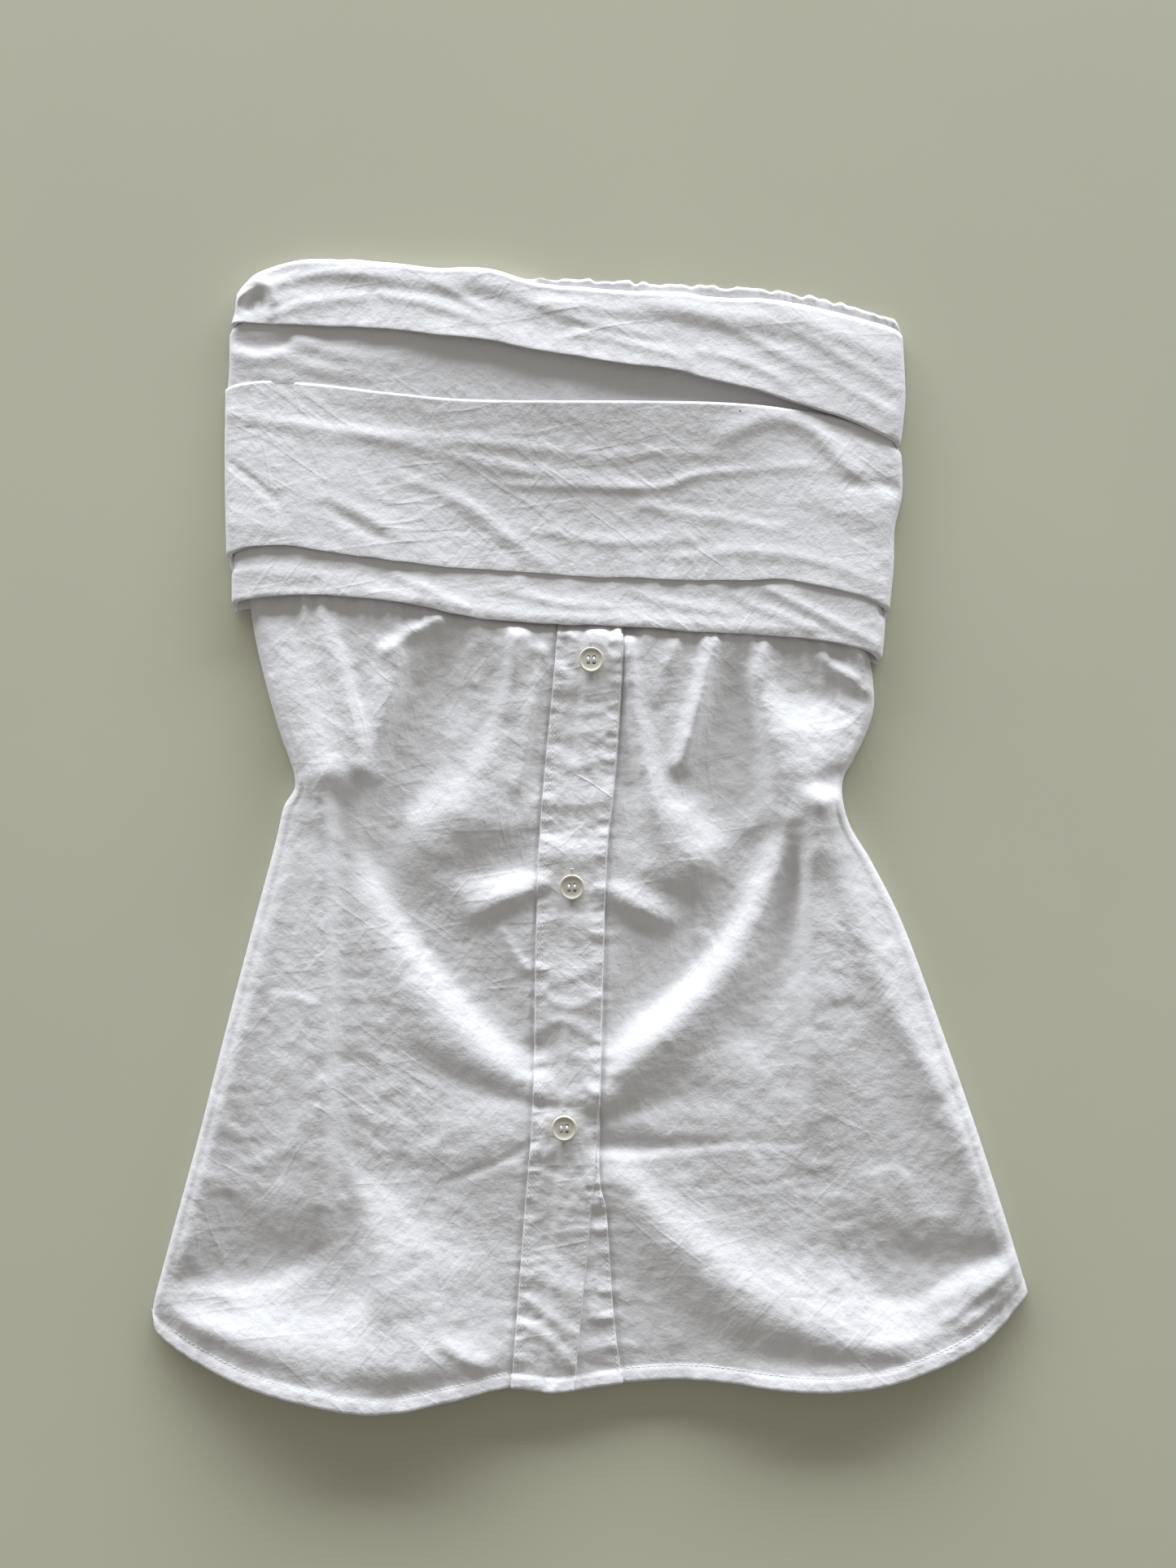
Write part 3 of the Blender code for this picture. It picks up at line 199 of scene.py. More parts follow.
# Main folds of the body
BODY_FOLDS = (
    fold("left_puff", (-140, 106, -0.8, 15, 16), (-136, 88, 0.6, 16, 18), (-131, 64, 3.8, 18, 18),
         (-124, 42, 7.2, 17, 18), (-119, 28, 8.8, 13, 16), ends=(0.8, 1)),
    fold("left_puff_edge", (-121, 104, 1, 3, 8), (-115, 82, 2.8, 3, 8), (-109.5, 62, 3.4, 3, 9),
         (-105, 44, 3, 3.5, 9), (-102, 30, 2.4, 4, 8), (-101, 24, 1.4, 4, 7), ends=(0.7, 0.5)),
    fold("left_waist_pocket", (-121, 24, -0.2, 3, 3), (-114, 14, -1.4, 4, 5), (-116, 6, -0.6, 4, 4)),
    fold("left_second_puff", (-99, 26, 3.2, 7, 4), (-95, 42, 4.2, 8, 4), (-90, 62, 4.4, 9, 4),
         (-88, 80, 3.6, 7, 3.5), ends=(0.5, 1)),
    fold("left_gully", (-60, 92, -0.4, 8, 9), (-69, 70, -3.6, 10, 9), (-77, 50, -5.8, 12, 8),
         (-84, 30, -6.6, 13, 9), (-91, 12, -6, 11, 10), (-97, -8, -3.4, 9, 9)),
    fold("fan", (-33, 90, 3.2, 4, 3), (-34, 74, 3, 5, 4), (-38, 56, 2.4, 8, 5), (-43, 38, 2.6, 12, 6),
         (-50, 22, 3.2, 17, 9), (-56, 8, 3.8, 20, 14), ends=(0.5, 0.8)),
    fold("fan_edge", (-86, 6, 0.8, 7, 5), (-76, -2, 1.2, 9, 6), (-64, -10, 1, 9, 7), ends=(0.8, 0.8)),
    fold("left_cap", (-62, -16, -1.2, 12, 7), (-46, -17, -2.4, 15, 7), (-32, -15, -2.2, 14, 7),
         ends=(1, 0.8)),
    fold("swag_valley", (-96, -8, -2, 9, 8), (-90, -25, -3.6, 15, 9), (-78, -42, -5.2, 20, 11),
         (-61, -63, -5.8, 22, 12), (-46, -81, -5.4, 19, 12), (-34, -93, -4.4, 15, 11),
         (-24, -101, -3.8, 12, 9)),
    fold("swag_ridge", (-97, -33, 1.6, 6, 10), (-88, -51, 2.4, 8, 16), (-74, -72, 2.6, 9, 20),
         (-57, -92, 2.6, 10, 20), (-43, -107, 2.4, 10, 16), (-28, -117, 1.8, 8, 9)),
    fold("left_long_ridge", (-121, 20, 1.6, 8, 9), (-120, 12, 4.4, 5, 10), (-120, 4, 5.8, 4.5, 12),
         (-120, -8, 5.4, 4.5, 13), (-120, -40, 5.2, 4.5, 15), (-120, -90, 5.6, 4.5, 17),
         (-121, -135, 5.4, 6, 18), (-123, -165, 4, 10, 18), (-127, -190, 1.8, 14, 18)),
    fold("left_side_ridge", (-137, 4, 0.5, 6, 6), (-147, -40, 1.5, 7, 7), (-160, -95, 2.5, 8, 8),
         (-173, -145, 2.5, 8, 8), (-184, -190, 2, 8, 8)),
    fold("button_streak", (-51, -37, 2, 7, 3), (-38, -31, 3.2, 8, 3), (-23, -25, 2.4, 7, 3)),
    fold("left_pull", (-80, -101, -0.8, 6, 6), (-64, -111, -1.6, 8, 6), (-45, -119, -2, 8, 5),
         (-26, -123, -1.8, 6, 4), (-12, -125, -1.2, 4, 4)),
    fold("left_pull_face", (-72, -134, 0.8, 10, 24), (-50, -139, 1.8, 12, 24), (-28, -138, 1.6, 10, 18),
         ends=(0.8, 1)),
    fold("left_bulge", (-184, -222, 2.5, 5, 6), (-164, -230, 5.5, 11, 9), (-140, -237, 7.4, 20, 16),
         (-112, -243, 7.8, 26, 24), (-84, -247, 4.8, 24, 22), (-58, -248, 3.6, 18, 14)),
    fold("left_spine", (-112, -148, 0.2, 3, 2), (-105, -162, 1.8, 9, 4), (-100, -175, 4, 16, 6),
         (-96, -190, 6.2, 24, 8), (-92, -208, 8, 34, 11), (-84, -238, 6.4, 44, 24), ends=(0.7, 1)),
    fold("left_triangle", (-186, -203, -1.5, 10, 6), (-162, -203, -3.8, 22, 6), (-142, -198, -4, 22, 7),
         (-122, -192, -1.5, 12, 7)),
    fold("right_tension", (16, 90, 3.5, 4, 2.5), (19, 60, 4, 5.5, 3.5), (22, 40, 4, 6, 4),
         (27, 20, 4.5, 8, 5), (32, 6, 4, 12, 9), (44, -6, 2.5, 20, 12)),
    fold("lobe", (28, -16, 2, 14, 10), (44, -18, 2.4, 15, 10), (58, -12, 1.4, 11, 8), (72, -2, 0.6, 6, 6)),
    fold("gather_ridge", (57, 92, 1.2, 3.5, 3.5), (53, 76, 3.8, 3.5, 3.5), (50, 62, 5.6, 3.5, 3.5),
         (46, 46, 6, 4, 4), (41, 30, 4.6, 4, 4), ends=(1, 0.6)),
    crease("gather_second", 3, 4, (38, 84, 1.6), (34, 72, 1.6), (30, 60, 1)),
    fold("right_hollow", (68, 86, 0.2, 7, 7), (67, 66, -2.6, 10, 8), (65, 46, -5.2, 13, 10),
         (63, 26, -6.4, 14, 13), (62, 8, -5, 13, 16), (66, -6, -3, 12, 14), ends=(1, 0.8)),
    fold("right_puff", (100, 86, 0.4, 20, 16), (100, 64, -0.6, 22, 18), (100, 54, 1.6, 22, 20),
         (100, 44, 5, 22, 20), (100, 30, 7.4, 18, 18), (101, 18, 7.4, 12, 14), (102, 6, 5.8, 12, 12),
         (103, -6, 4.2, 12, 10)),
    fold("right_puff_edge", (85, 8, 2.5, 5, 8), (82, 30, 3.8, 3.5, 9), (78, 52, 5.6, 3, 10),
         (75, 68, 4.6, 3, 8), (77, 80, 2.6, 3, 7), (79, 90, 0.8, 3.5, 6)),
    fold("right_waist_pocket", (119, 24, -1.6, 3, 3), (112, 26, -2.2, 3, 3), (105, 22, -1.4, 4, 4)),
    fold("big_hollow", (10, -89, -3.5, 10, 9), (28, -75, -5.4, 20, 11), (46, -59, -5.8, 28, 11),
         (60, -40, -5.2, 26, 11), (72, -22, -4, 18, 10), (80, -4, -2.2, 9, 7)),
    fold("diagonal_ridge", (6, -119, 2.5, 7, 8), (20, -103, 4, 9, 11), (41, -83, 4.6, 9, 14),
         (58, -63, 4.6, 9, 12), (73, -40, 4.2, 8, 9), (86, -13, 3.8, 7, 7), (91, 4, 2.6, 6, 6)),
    fold("right_gully", (97, 8, -1.6, 4, 5), (94, -15, -3.8, 4, 6), (90, -40, -4.8, 5, 8),
         (85, -64, -3.8, 8, 10), (76, -90, -2.4, 12, 14)),
    fold("button_lobe", (8, -28, 2.2, 7, 3.5), (20, -34, 3.7, 8, 3.5), (32, -40, 3.2, 8, 3.5)),
    fold("right_long_ridge", (97, 12, 2.2, 10, 5), (99, -20, 3.8, 13, 4), (101, -46, 4, 15, 3.5),
         (101, -80, 3.8, 16, 4), (101, -108, 3.4, 16, 5), (101, -130, 2, 14, 7), (102, -150, 0.6, 12, 8),
         ends=(1, 0.8)),
    fold("right_side_ridge", (110, 6, 1, 8, 5), (120, -30, 2.5, 12, 8), (136, -72, 3, 12, 10),
         (156, -112, 3, 10, 9), (172, -150, 2.5, 8, 8), (184, -184, 1.5, 8, 8)),
    fold("right_pull", (4, -132, -2, 5, 4), (22, -125, -1.5, 6, 5), (42, -120, -0.9, 7, 6),
         (62, -119, -0.5, 6, 6)),
    fold("right_bulge", (14, -158, 2.5, 7, 12), (36, -182, 4.6, 11, 16), (60, -204, 6, 14, 18),
         (84, -218, 7, 18, 18), (106, -228, 7.4, 18, 15), (130, -235, 6.2, 13, 12), (152, -233, 3.8, 9, 8),
         (174, -222, 2, 7, 6)),
    fold("right_corner_pocket", (122, -196, -2.5, 18, 8), (138, -207, -4.6, 26, 8), (153, -207, -4.4, 22, 6),
         (168, -199, -3.6, 14, 5), (184, -192, -2, 8, 4)),
    fold("right_corner_lobe", (160, -212, 0.8, 6, 7), (172, -208, 1.5, 6, 7), (184, -204, 1.6, 7, 7)),
)
# Smaller creases of the body
BODY_CREASES = (
    crease("star", 4, 3, (-93, 82, 1.5), (-80, 90, 2), (-68, 96, 1.5)),
    fold("left_tension", (-32, 21, 1.4, 5, 1.8), (-29, 35, 2, 5, 1.8), (-25, 62, 2, 4, 1.8),
         (-21, 82, 1.4, 3.5, 1.8)),
    crease("lower_streak", 3, 3, (-40, -46, 1), (-29, -63, 1)),
    crease("left_thin_crease", 1.8, 1.8, (-66, -159, -0.35), (-44, -151, -0.5), (-26, -141, -0.6)),
    fold("left_hem_nick", (-67, -231, 0.8, 5, 3), (-49, -242, 1.4, 5, 2.5)),
    crease("right_small_ridge", 4, 3, (104, 79, 1.5), (118, 69, 2), (130, 60, 1.5)),
    crease("right_upper_ridge", 3, 2, (120, 84, 1.2), (125, 76, 1.4), (129, 69, 1)),
    crease("right_waist_tip", 5, 6, (104, 14, 2), (112, 13, 2)),
    fold("right_thin_crease", (4, -143, -2.2, 6, 3), (22, -144, -1.8, 6, 3), (40, -143, -0.9, 4, 2.5),
         (70, -141, -0.35, 2.5, 2), (96, -141, -0.25, 2.5, 2)),
    crease("corner_line_1", 4, 2, (162, -222, 0.8), (180, -208, 1.2), (192, -197, 0.8)),
    crease("corner_line_2", 4, 2, (172, -224, 0.8), (188, -212, 1.2), (197, -205, 0.8)),
)

TOP_EDGE = line(
    (-164, 246), (-160.5, 250), (-153, 255.8), (-134.7, 260.8), (-111, 260.8), (-77, 258), (-50, 256.8),
    (-20, 250), (16, 247.3), (57, 244.5), (92, 242), (122, 234.5), (138, 229), (144, 222),
)
BACK_EDGE = line(
    (-164, 240), (-159, 247), (-152, 253), (-134, 259), (-111, 259), (-77, 256.2), (-45, 254.5),
    (-28, 252.6), (4, 251.6), (41, 249.6), (82, 246.8), (108, 242.4), (130, 236), (139.5, 232.4), (144, 222),
)
TOP_FOLD_LOW = line(
    (-166, 231.5), (-139, 230), (-84, 227), (-45, 222), (-8, 215.7), (44, 207.6), (83, 198), (118, 187),
    (143, 174.8),
)
MIDDLE_TOP = line(
    (-168, 199.5), (-161, 203), (-145, 205), (-118, 202.8), (-87, 198.7), (-47, 195.4), (52, 194.6),
    (92, 191.3), (113, 187.5), (124, 184.5), (143, 182.5),
)
MIDDLE_LOW = line(
    (-167, 124), (-154, 128.8), (-138, 129.5), (-118, 126.2), (-68, 120.6), (-8, 116), (62, 114),
    (92.5, 113.6), (122, 107.3), (138, 100),
)
LOWER_LOW = line(
    (-165, 102.8), (-156, 105.1), (-132, 106.9), (-94, 104.7), (-48, 96.2), (-16, 94.4), (32, 91.8),
    (92, 88.1), (122, 83.3), (135, 77),
)
TOP_FOLD_SIDES = (
    line((-164, 231), (-162.5, 237), (-161.6, 244), (-161.2, 252)),
    line((141.6, 174), (143.6, 190), (144.2, 200), (143.6, 215), (142.9, 227), (142.6, 233)),
)
INSET_SIDES = (
    line((-165, 190), (-165.1, 203), (-164.8, 215), (-164.4, 228), (-160.2, 231), (-158, 242)),
    line((138, 160), (137.6, 183), (139.4, 190), (139.8, 200)),
)
MIDDLE_SIDES = (
    line((-165.8, 122), (-166.9, 170), (-166.6, 205)),
    line((136.8, 101), (138.8, 122), (139.2, 138), (142.6, 153), (142.6, 168), (141.8, 173), (139.2, 176),
         (139.4, 184)),
)
LOWER_SIDES = (
    line((-163.4, 100), (-163.5, 117), (-162.4, 121), (-162.4, 150)),
    line((133.2, 77), (134.8, 93), (134.4, 97), (133.4, 101), (133.4, 130)),
)
BACK_SIDES = (
    line((-162, 99), (-163, 116), (-165.2, 126), (-166.2, 170), (-165.8, 200), (-163.8, 225)),
    line((132, 76), (134.5, 93), (136.5, 104), (138.5, 122), (139, 138), (141.5, 153), (141.3, 175),
         (143.6, 195), (143, 215)),
)

# Heights of the band's layers: x, then heights at equal steps from the hidden upper end to the lower edge
TOP_FOLD_HEIGHTS = (
    (-160, 3.8, 4.4, 4.6, 4.9, 5.4, 6), (-140, 4.4, 5.2, 5.2, 5.4, 5.8, 6.3),
    (-100, 5.2, 6.4, 6, 6, 6.5, 7.2), (-60, 6, 7.2, 6.6, 6.7, 7.4, 8.3), (-20, 6.4, 7.8, 7, 7, 7.8, 8.8),
    (20, 6.4, 8, 7.2, 7.2, 8, 9), (60, 6.2, 7.8, 7.4, 7.2, 7.8, 8.8), (100, 5.6, 6.8, 7, 7, 7.4, 8),
    (138, 4.6, 5.4, 5.8, 6.2, 6.8, 7.4),
)
INSET_HEIGHTS = (
    (-160, 3.4, 4.4, 4.9, 5, 5, 5), (-135, 3.4, 4.5, 5, 5.2, 5.1, 5), (-100, 3.6, 4.6, 4.9, 4.9, 4.8, 4.7),
    (-50, 3.8, 4.8, 4.8, 4.7, 4.6, 4.6), (20, 3.8, 4.8, 4.6, 4.5, 4.5, 4.5),
    (80, 3.8, 4.4, 4.3, 4.3, 4.3, 4.3), (138, 3.4, 3.4, 3.4, 3.4, 3.4, 3.4),
)
MIDDLE_HEIGHTS = (
    (-160, 5.2, 6, 6.9, 7.9, 8.8, 9.6), (-120, 5.6, 6, 7, 8.1, 9.1, 10), (-90, 7.4, 6.7, 6.9, 7.6, 8.7, 9.8),
    (-60, 8.8, 7.8, 7, 6.8, 7.3, 8.4), (-20, 9.4, 8.2, 7.3, 6.7, 6.6, 7.2),
    (20, 9.4, 8.2, 7.2, 6.6, 6.5, 7.1), (60, 8.6, 7.7, 7, 6.9, 7.5, 8.4), (85, 7.2, 7, 7.3, 7.8, 8.8, 9.6),
    (115, 5.6, 6.8, 7.4, 7.8, 8.8, 9.8), (138, 5.2, 6, 6.4, 7, 7.8, 8.6),
)
LOWER_HEIGHTS = (
    (-160, 5, 6.2, 7.8, 8.1, 8.7, 9.2), (-110, 5.2, 6.5, 8.2, 8.5, 9.1, 9.7),
    (-60, 4.6, 5.9, 7.2, 7.5, 8.3, 9.1), (-20, 4.4, 5.4, 6.4, 6.6, 7.4, 8.3),
    (20, 4.3, 5.3, 6.3, 6.5, 7.3, 8.2), (60, 4.8, 6, 7.2, 7.4, 8, 8.7), (85, 5.4, 7, 8.6, 8.7, 9, 9.4),
    (115, 5.6, 7.2, 8.8, 8.8, 9.1, 9.5), (134, 5.4, 6.6, 7.7, 8, 8.3, 8.6),
)
# Layers of the band. tuck: part hidden above the visible top. radius, depth: of the turned-under lower edge.
# turn: main direction of the thin creases in degrees. flat: width and length before it was folded, in metres.
Layer = namedtuple("Layer", "name node top tuck low sides heights radius depth creases turn rests_on flat")

TOP_FOLD_CREASES = (
    fold("valley", (-140, 252, -0.84, 5, 5), (-60, 246, -0.96, 5, 6), (0, 240, -0.96, 5, 6),
         (30, 235, -0.96, 5, 6), (70, 225, -0.84, 5, 6), (95, 222, -0.48, 5, 5)),
    fold("ear_outer", (-161, 238, 0.72, 2.5, 3), (-158, 246, 1.32, 2.5, 3), (-153, 250, 1.56, 2.5, 3),
         (-147, 248, 1.32, 2.5, 3), (-143.5, 241, 0.84, 2.5, 3), ends=(0.7, 0.7)),
    fold("ear_hollow", (-155.5, 239, -1.44, 3, 3), (-151.5, 243, -1.56, 3, 3), (-149, 240, -1.08, 3, 3),
         ends=(0.8, 0.8)),
    fold("ear_spike", (-163, 240, 0.9, 2, 2), (-156, 245, 1.2, 1.6, 1.6), (-152.5, 247, 0.72, 1.4, 1.4),
         ends=(0.6, 0.6)),
    fold("left_fan_1", (-146, 234, 0.48, 2.5, 2.5), (-128, 240, 0.66, 3, 3), (-104, 243, 0.48, 3, 3)),
    fold("left_fan_2", (-142, 250, 0.54, 3, 2.5), (-118, 254, 0.6, 3, 2.5), (-92, 253, 0.36, 3, 3)),
    fold("middle_1", (-94, 244, 0.48, 3, 3), (-70, 239, 0.66, 3, 2.5), (-48, 231, 0.42, 3, 2.5)),
    crease("middle_2", 2.5, 2, (-72, 250, 0.36), (-58, 243, 0.54), (-47, 236, 0.36)),
    fold("middle_3", (-22, 238, 0.36, 3, 2), (4, 230, 0.6, 3, 2.5), (30, 225, 0.36, 3, 2.5)),
    crease("middle_4", 2.5, 2, (-6, 226, 0.42), (16, 222, 0.54), (44, 214, 0.36)),
    crease("right_1", 5, 4, (75, 245, 0.4), (100, 232, 0.6), (135, 215, 0.4)),
    crease("right_2", 3, 2.5, (58, 232, 0.36), (84, 218, 0.5), (112, 204, 0.36), (136, 190, 0.42)),
    crease("right_3", 2.5, 2, (96, 226, 0.26), (116, 214, 0.36), (140, 201, 0.26)),
    crease("right_4", 2.5, 2, (50, 218, 0.36), (72, 212, 0.54), (90, 203, 0.36)),
)
INSET_CREASES = (
    fold("pocket", (-163, 224, -0.96, 3, 3), (-150, 221, -1.6, 4, 3), (-138, 224, -1.12, 3, 3)),
    fold("pocket_lip", (-164, 218, 0.64, 2.5, 2.5), (-150, 215.5, 0.96, 2.5, 3), (-134, 219, 0.64, 2.5, 3)),
    fold("fan_1", (-135, 224, 0.8, 2.5, 2.5), (-112, 217, 0.72, 2.5, 3), (-88, 214, 0.4, 3, 3)),
    fold("fan_2", (-138, 214, 0.64, 2.5, 2.5), (-116, 209, 0.72, 3, 2.5), (-96, 207, 0.32, 3, 3)),
    crease("fan_3", 2.5, 2.5, (-152, 208, 0.56), (-136, 206, 0.64)),
)
MIDDLE_CREASES = (
    fold("upper_1", (-165, 190, 0.5, 3, 3), (-130, 184, 0.65, 3, 4), (-100, 180, 0.6, 3, 4),
         (-50, 176, 0.55, 3, 4), (0, 172, 0.4, 3, 4)),
    fold("upper_2", (-110, 182, 0.25, 3, 3), (-60, 170, 0.55, 3, 3.5), (-20, 162, 0.6, 3, 3),
         (20, 157, 0.4, 3, 3)),
    crease("left_short", 2, 2, (-165, 168, -0.45), (-154, 160, -0.65), (-142, 150, -0.45)),
    fold("left_lens", (-118, 147, -0.4, 3, 3), (-106, 139, -0.65, 4, 3), (-95, 133, -0.4, 3, 3)),
    crease("left_lens_rim", 3, 3, (-122, 152, 0.3), (-100, 142, 0.55), (-84, 132, 0.3)),
    crease("centre_diagonal", 4, 4, (-60, 150, 0.5), (-42, 137, 0.8), (-20, 122, 0.5)),
    fold("thin_ridge", (-40, 158, 0.25, 2, 2), (-20, 157, 0.55, 2, 2), (30, 156, 0.65, 2, 2),
         (50, 162, 0.6, 2, 2), (100, 166, 0.35, 2, 2.5)),
    fold("right_bump", (60, 178, 0.6, 5, 4), (80, 187, 1, 5, 4), (100, 183, 1.1, 5, 4), (112, 170, 1, 5, 4),
         (135, 150, 0.6, 4, 4)),
    crease("right_lens", 4, 4, (118, 158, -0.7), (129, 157, -1), (140, 155, -0.7)),
    crease("right_broad", 8, 6, (100, 150, 0.5), (120, 144, 0.8), (138, 140, 0.6)),
    crease("low_1", 3, 2.5, (-30, 138, 0.35), (10, 131, 0.5), (46, 133, 0.3)),
    crease("low_2", 2.5, 2.5, (24, 148, 0.35), (52, 143, 0.5), (88, 138, 0.35)),
    crease("low_3", 2.5, 2.5, (40, 124, 0.3), (74, 127, 0.45), (104, 122, 0.4), (132, 112, 0.25)),
    crease("mid_1", 3, 2.5, (-90, 162, 0.3), (-66, 153, 0.45), (-48, 144, 0.3)),
    crease("mid_2", 3, 2.5, (0, 168, 0.3), (30, 172, 0.4), (62, 170, 0.3)),
    crease("left_edge", 4, 4, (-164, 140, 0.4), (-140, 137, 0.35)),
)
LOWER_CREASES = (
    crease("left_soft", 4, 4, (-160, 118, 0.42), (-130, 116, 0.54), (-100, 112, 0.36)),
    crease("lip", 3, 2, (-150, 108, 0.3), (-90, 107, 0.42), (-40, 99, 0.48), (30, 95, 0.48),
           (100, 91, 0.42)),
    crease("streak_1", 2.5, 2.5, (-88, 116, 0.42), (-70, 108, 0.6), (-56, 102, 0.36)),
    crease("streak_2", 2.5, 2, (-40, 110, 0.36), (-16, 104, 0.54), (8, 102, 0.3)),
    crease("streak_3", 2.5, 2, (20, 108, 0.36), (44, 102, 0.54), (66, 99, 0.3)),
    crease("streak_4", 2.5, 2, (80, 110, 0.48), (104, 98, 0.66), (130, 85, 0.48)),
    crease("streak_5", 2.5, 2, (66, 106, 0.3), (84, 98, 0.48), (100, 92, 0.3)),
)
# Creases across the plackets
PLACKET_CREASES = (
    crease("button_1_below", 5, 4, (-18, 66, 1.4), (-5, 65, 1.3), (12, 62, 0.6)),
    crease("upper_1", 3, 3, (-19, 56, 0.5), (-4, 54, 0.8), (11, 56, 0.5)),
    crease("upper_2", 6, 4, (-20, 43, 1), (-4, 45, 1.2), (11, 42, 0.8)),
    crease("upper_3", 4, 3, (-20, 33, 0.7), (-6, 30, 0.8), (10, 34, 0.5)),
    crease("middle_1", 10, 4, (-21, 15, 1.4), (-6, 13, 1.6), (9, 16, 1.2)),
    fold("middle_2", (-22, -9, 1.4, 8, 5), (-8, -12, 1.8, 8, 6), (8, -9, 1.5, 8, 5)),
    fold("button_2_left", (-24, -30, -0.9, 4, 3), (-16, -27, -0.7, 3, 3), ends=(1, 0.7)),
    fold("button_2_below", (-24, -43, 1.2, 5, 4), (-9, -39, 1.3, 4, 6), (7, -43, 1.2, 5, 6)),
    crease("zigzag_1", 3, 3, (-24, -62, 0.8), (-12, -66, 1), (6, -60, 0.6)),
    crease("zigzag_2", 3, 3, (-25, -74, 0.7), (-8, -79, 1.1), (6, -74, 0.8)),
    crease("zigzag_3", 3.5, 3, (-25, -90, 1), (-12, -86, 1.2), (5, -94, 0.9)),
    crease("zigzag_4", 4, 3, (-25, -104, 0.7), (-10, -101, 0.8), (5, -108, 0.7)),
    fold("button_3_above", (-26, -119, 1.1, 5, 2.5), (-12, -122, 1.3, 5, 2.5), (4, -118, 0.9, 6, 3)),
    fold("button_3_left", (-27, -137, -0.9, 3, 3), (-18, -140, -0.7, 3, 3), ends=(1, 0.7)),
    fold("button_3_below", (-28, -147, 1.1, 4, 4), (-14, -144, 1, 4, 6), (3, -150, 0.5, 4, 6)),
    fold("lower_trough", (-29, -176, -0.6, 5, 5), (-16, -188, -1.1, 6, 6), (-3, -201, -0.9, 5, 5)),
    crease("lower_1", 4, 4, (-30, -199, 0.8), (-18, -204, 1), (-4, -211, 0.7)),
    crease("lower_2", 3, 3, (-28, -212, 0.8), (-19, -219, 1), (-8, -227, 0.7)),
    fold("lower_3", (-33, -222, 1, 3, 3), (-20, -229, 1.4, 3, 3.5), (-8, -242, 1, 3, 3)),
    crease("lower_4", 3, 3, (-34, -238, 0.6), (-22, -244, 0.7)),
)
UNDER_CREASES = (
    crease("cross_1", 3, 2, (0, -152, 0.5), (9, -151, 0.6)),
    crease("cross_2", 3, 2.5, (0, -166, 0.6), (12, -164, 0.7)),
    crease("cross_3", 3, 3, (-1, -180, 0.8), (12, -178, 0.9)),
    crease("cross_4", 4, 3, (-2, -193, 0.7), (13, -190, 0.8)),
    crease("cross_5", 3, 3, (-3, -208, 0.6), (14, -204, 0.9)),
    crease("cross_6", 6, 3, (-4, -222, 1.1), (14, -218, 1.3)),
    crease("cross_7", 4, 3, (-6, -236, 0.7), (15, -232, 1)),
)
BACK_CREASES = (
    crease("long_left", 4, 3, (-120, 60, 0.3), (-128, -40, 0.5), (-140, -160, 0.4)),
    crease("long_right", 3, 4, (90, 50, 0.3), (100, -60, 0.5), (112, -180, 0.4)),
    crease("waist", 3, 3, (-110, 22, 0.3), (-20, 12, 0.5), (96, 20, 0.4)),
    crease("cross", 3, 3, (-150, -110, 0.4), (-40, -128, 0.5), (60, -112, 0.4), (150, -124, 0.3)),
    crease("hem_sag", 5, 4, (-150, -214, 0.4), (-40, -226, 0.5), (120, -214, 0.4)),
)
BAND_LAYERS = (
    Layer("band_top_cloth", "band_top_fold", TOP_EDGE, 0, TOP_FOLD_LOW, TOP_FOLD_SIDES, TOP_FOLD_HEIGHTS,
          0.4, 8, TOP_FOLD_CREASES, -14, ("band_back_cloth", "band_inset_cloth"), (0.325, 0.062)),
    Layer("band_inset_cloth", "band_inset", TOP_FOLD_LOW, 9, MIDDLE_TOP, INSET_SIDES, INSET_HEIGHTS,
          0, 0, INSET_CREASES, -10, ("band_back_cloth",), (0.325, 0.045)),
    Layer("band_middle_cloth", "band_middle_fold", MIDDLE_TOP, 0, MIDDLE_LOW, MIDDLE_SIDES, MIDDLE_HEIGHTS,
          0.25, 8, MIDDLE_CREASES, -9, ("band_back_cloth", "band_lower_cloth"), (0.325, 0.1)),
    Layer("band_lower_cloth", "band_lower_fold", MIDDLE_LOW, 13, LOWER_LOW, LOWER_SIDES, LOWER_HEIGHTS,
          0.35, 6, LOWER_CREASES, -12, ("band_back_cloth", "front_left_cloth", "front_right_cloth"),
          (0.32, 0.05)),
)
# Small dark specks in the cotton: x, y, radius
BAND_SPECKS = {"band_middle_cloth": ((68, 190.6, 0.7), (-25.2, 166.5, 0.6))}

# Random waves: height, length across, length along, seed
GATHERS = ((0.8, 4.2, 34, 21), (0.5, 2.4, 22, 22))
SEAM_PUCKERS = ((0.42, 17, 3.6, 23), (0.2, 9, 2.2, 24))
HEM_PUCKERS = ((0.3, 3.8, 16, 25), (0.16, 2.2, 12, 26))
ELASTIC_RUFFLE = ((1.2, 3.4, 40, 43), (0.5, 1.9, 16, 44))
# The same with a seed that is added to the piece's own
STRIP_PUCKERS = ((0.2, 12, 3.4, 0), (0.1, 8, 2, 1))
EDGE_WANDER = ((0.55, 21, 9, 0), (0.3, 8, 9, 1))
LIP_WAVES = ((0.3, 4.6, 16, 8), (0.16, 2.6, 12, 9))
# Planes of crumpled cloth: size, slope, seed
CRUMPLE = ((24, 0.034, 2), (11, 0.046, 7), (5.5, 0.05, 12))
# Shares of the crumple and of the thin creases that the pieces take
STRIP_CRUMPLE = 0.6
BAND_CRUMPLE = 0.4
BAND_THIN_CREASES = 0.46
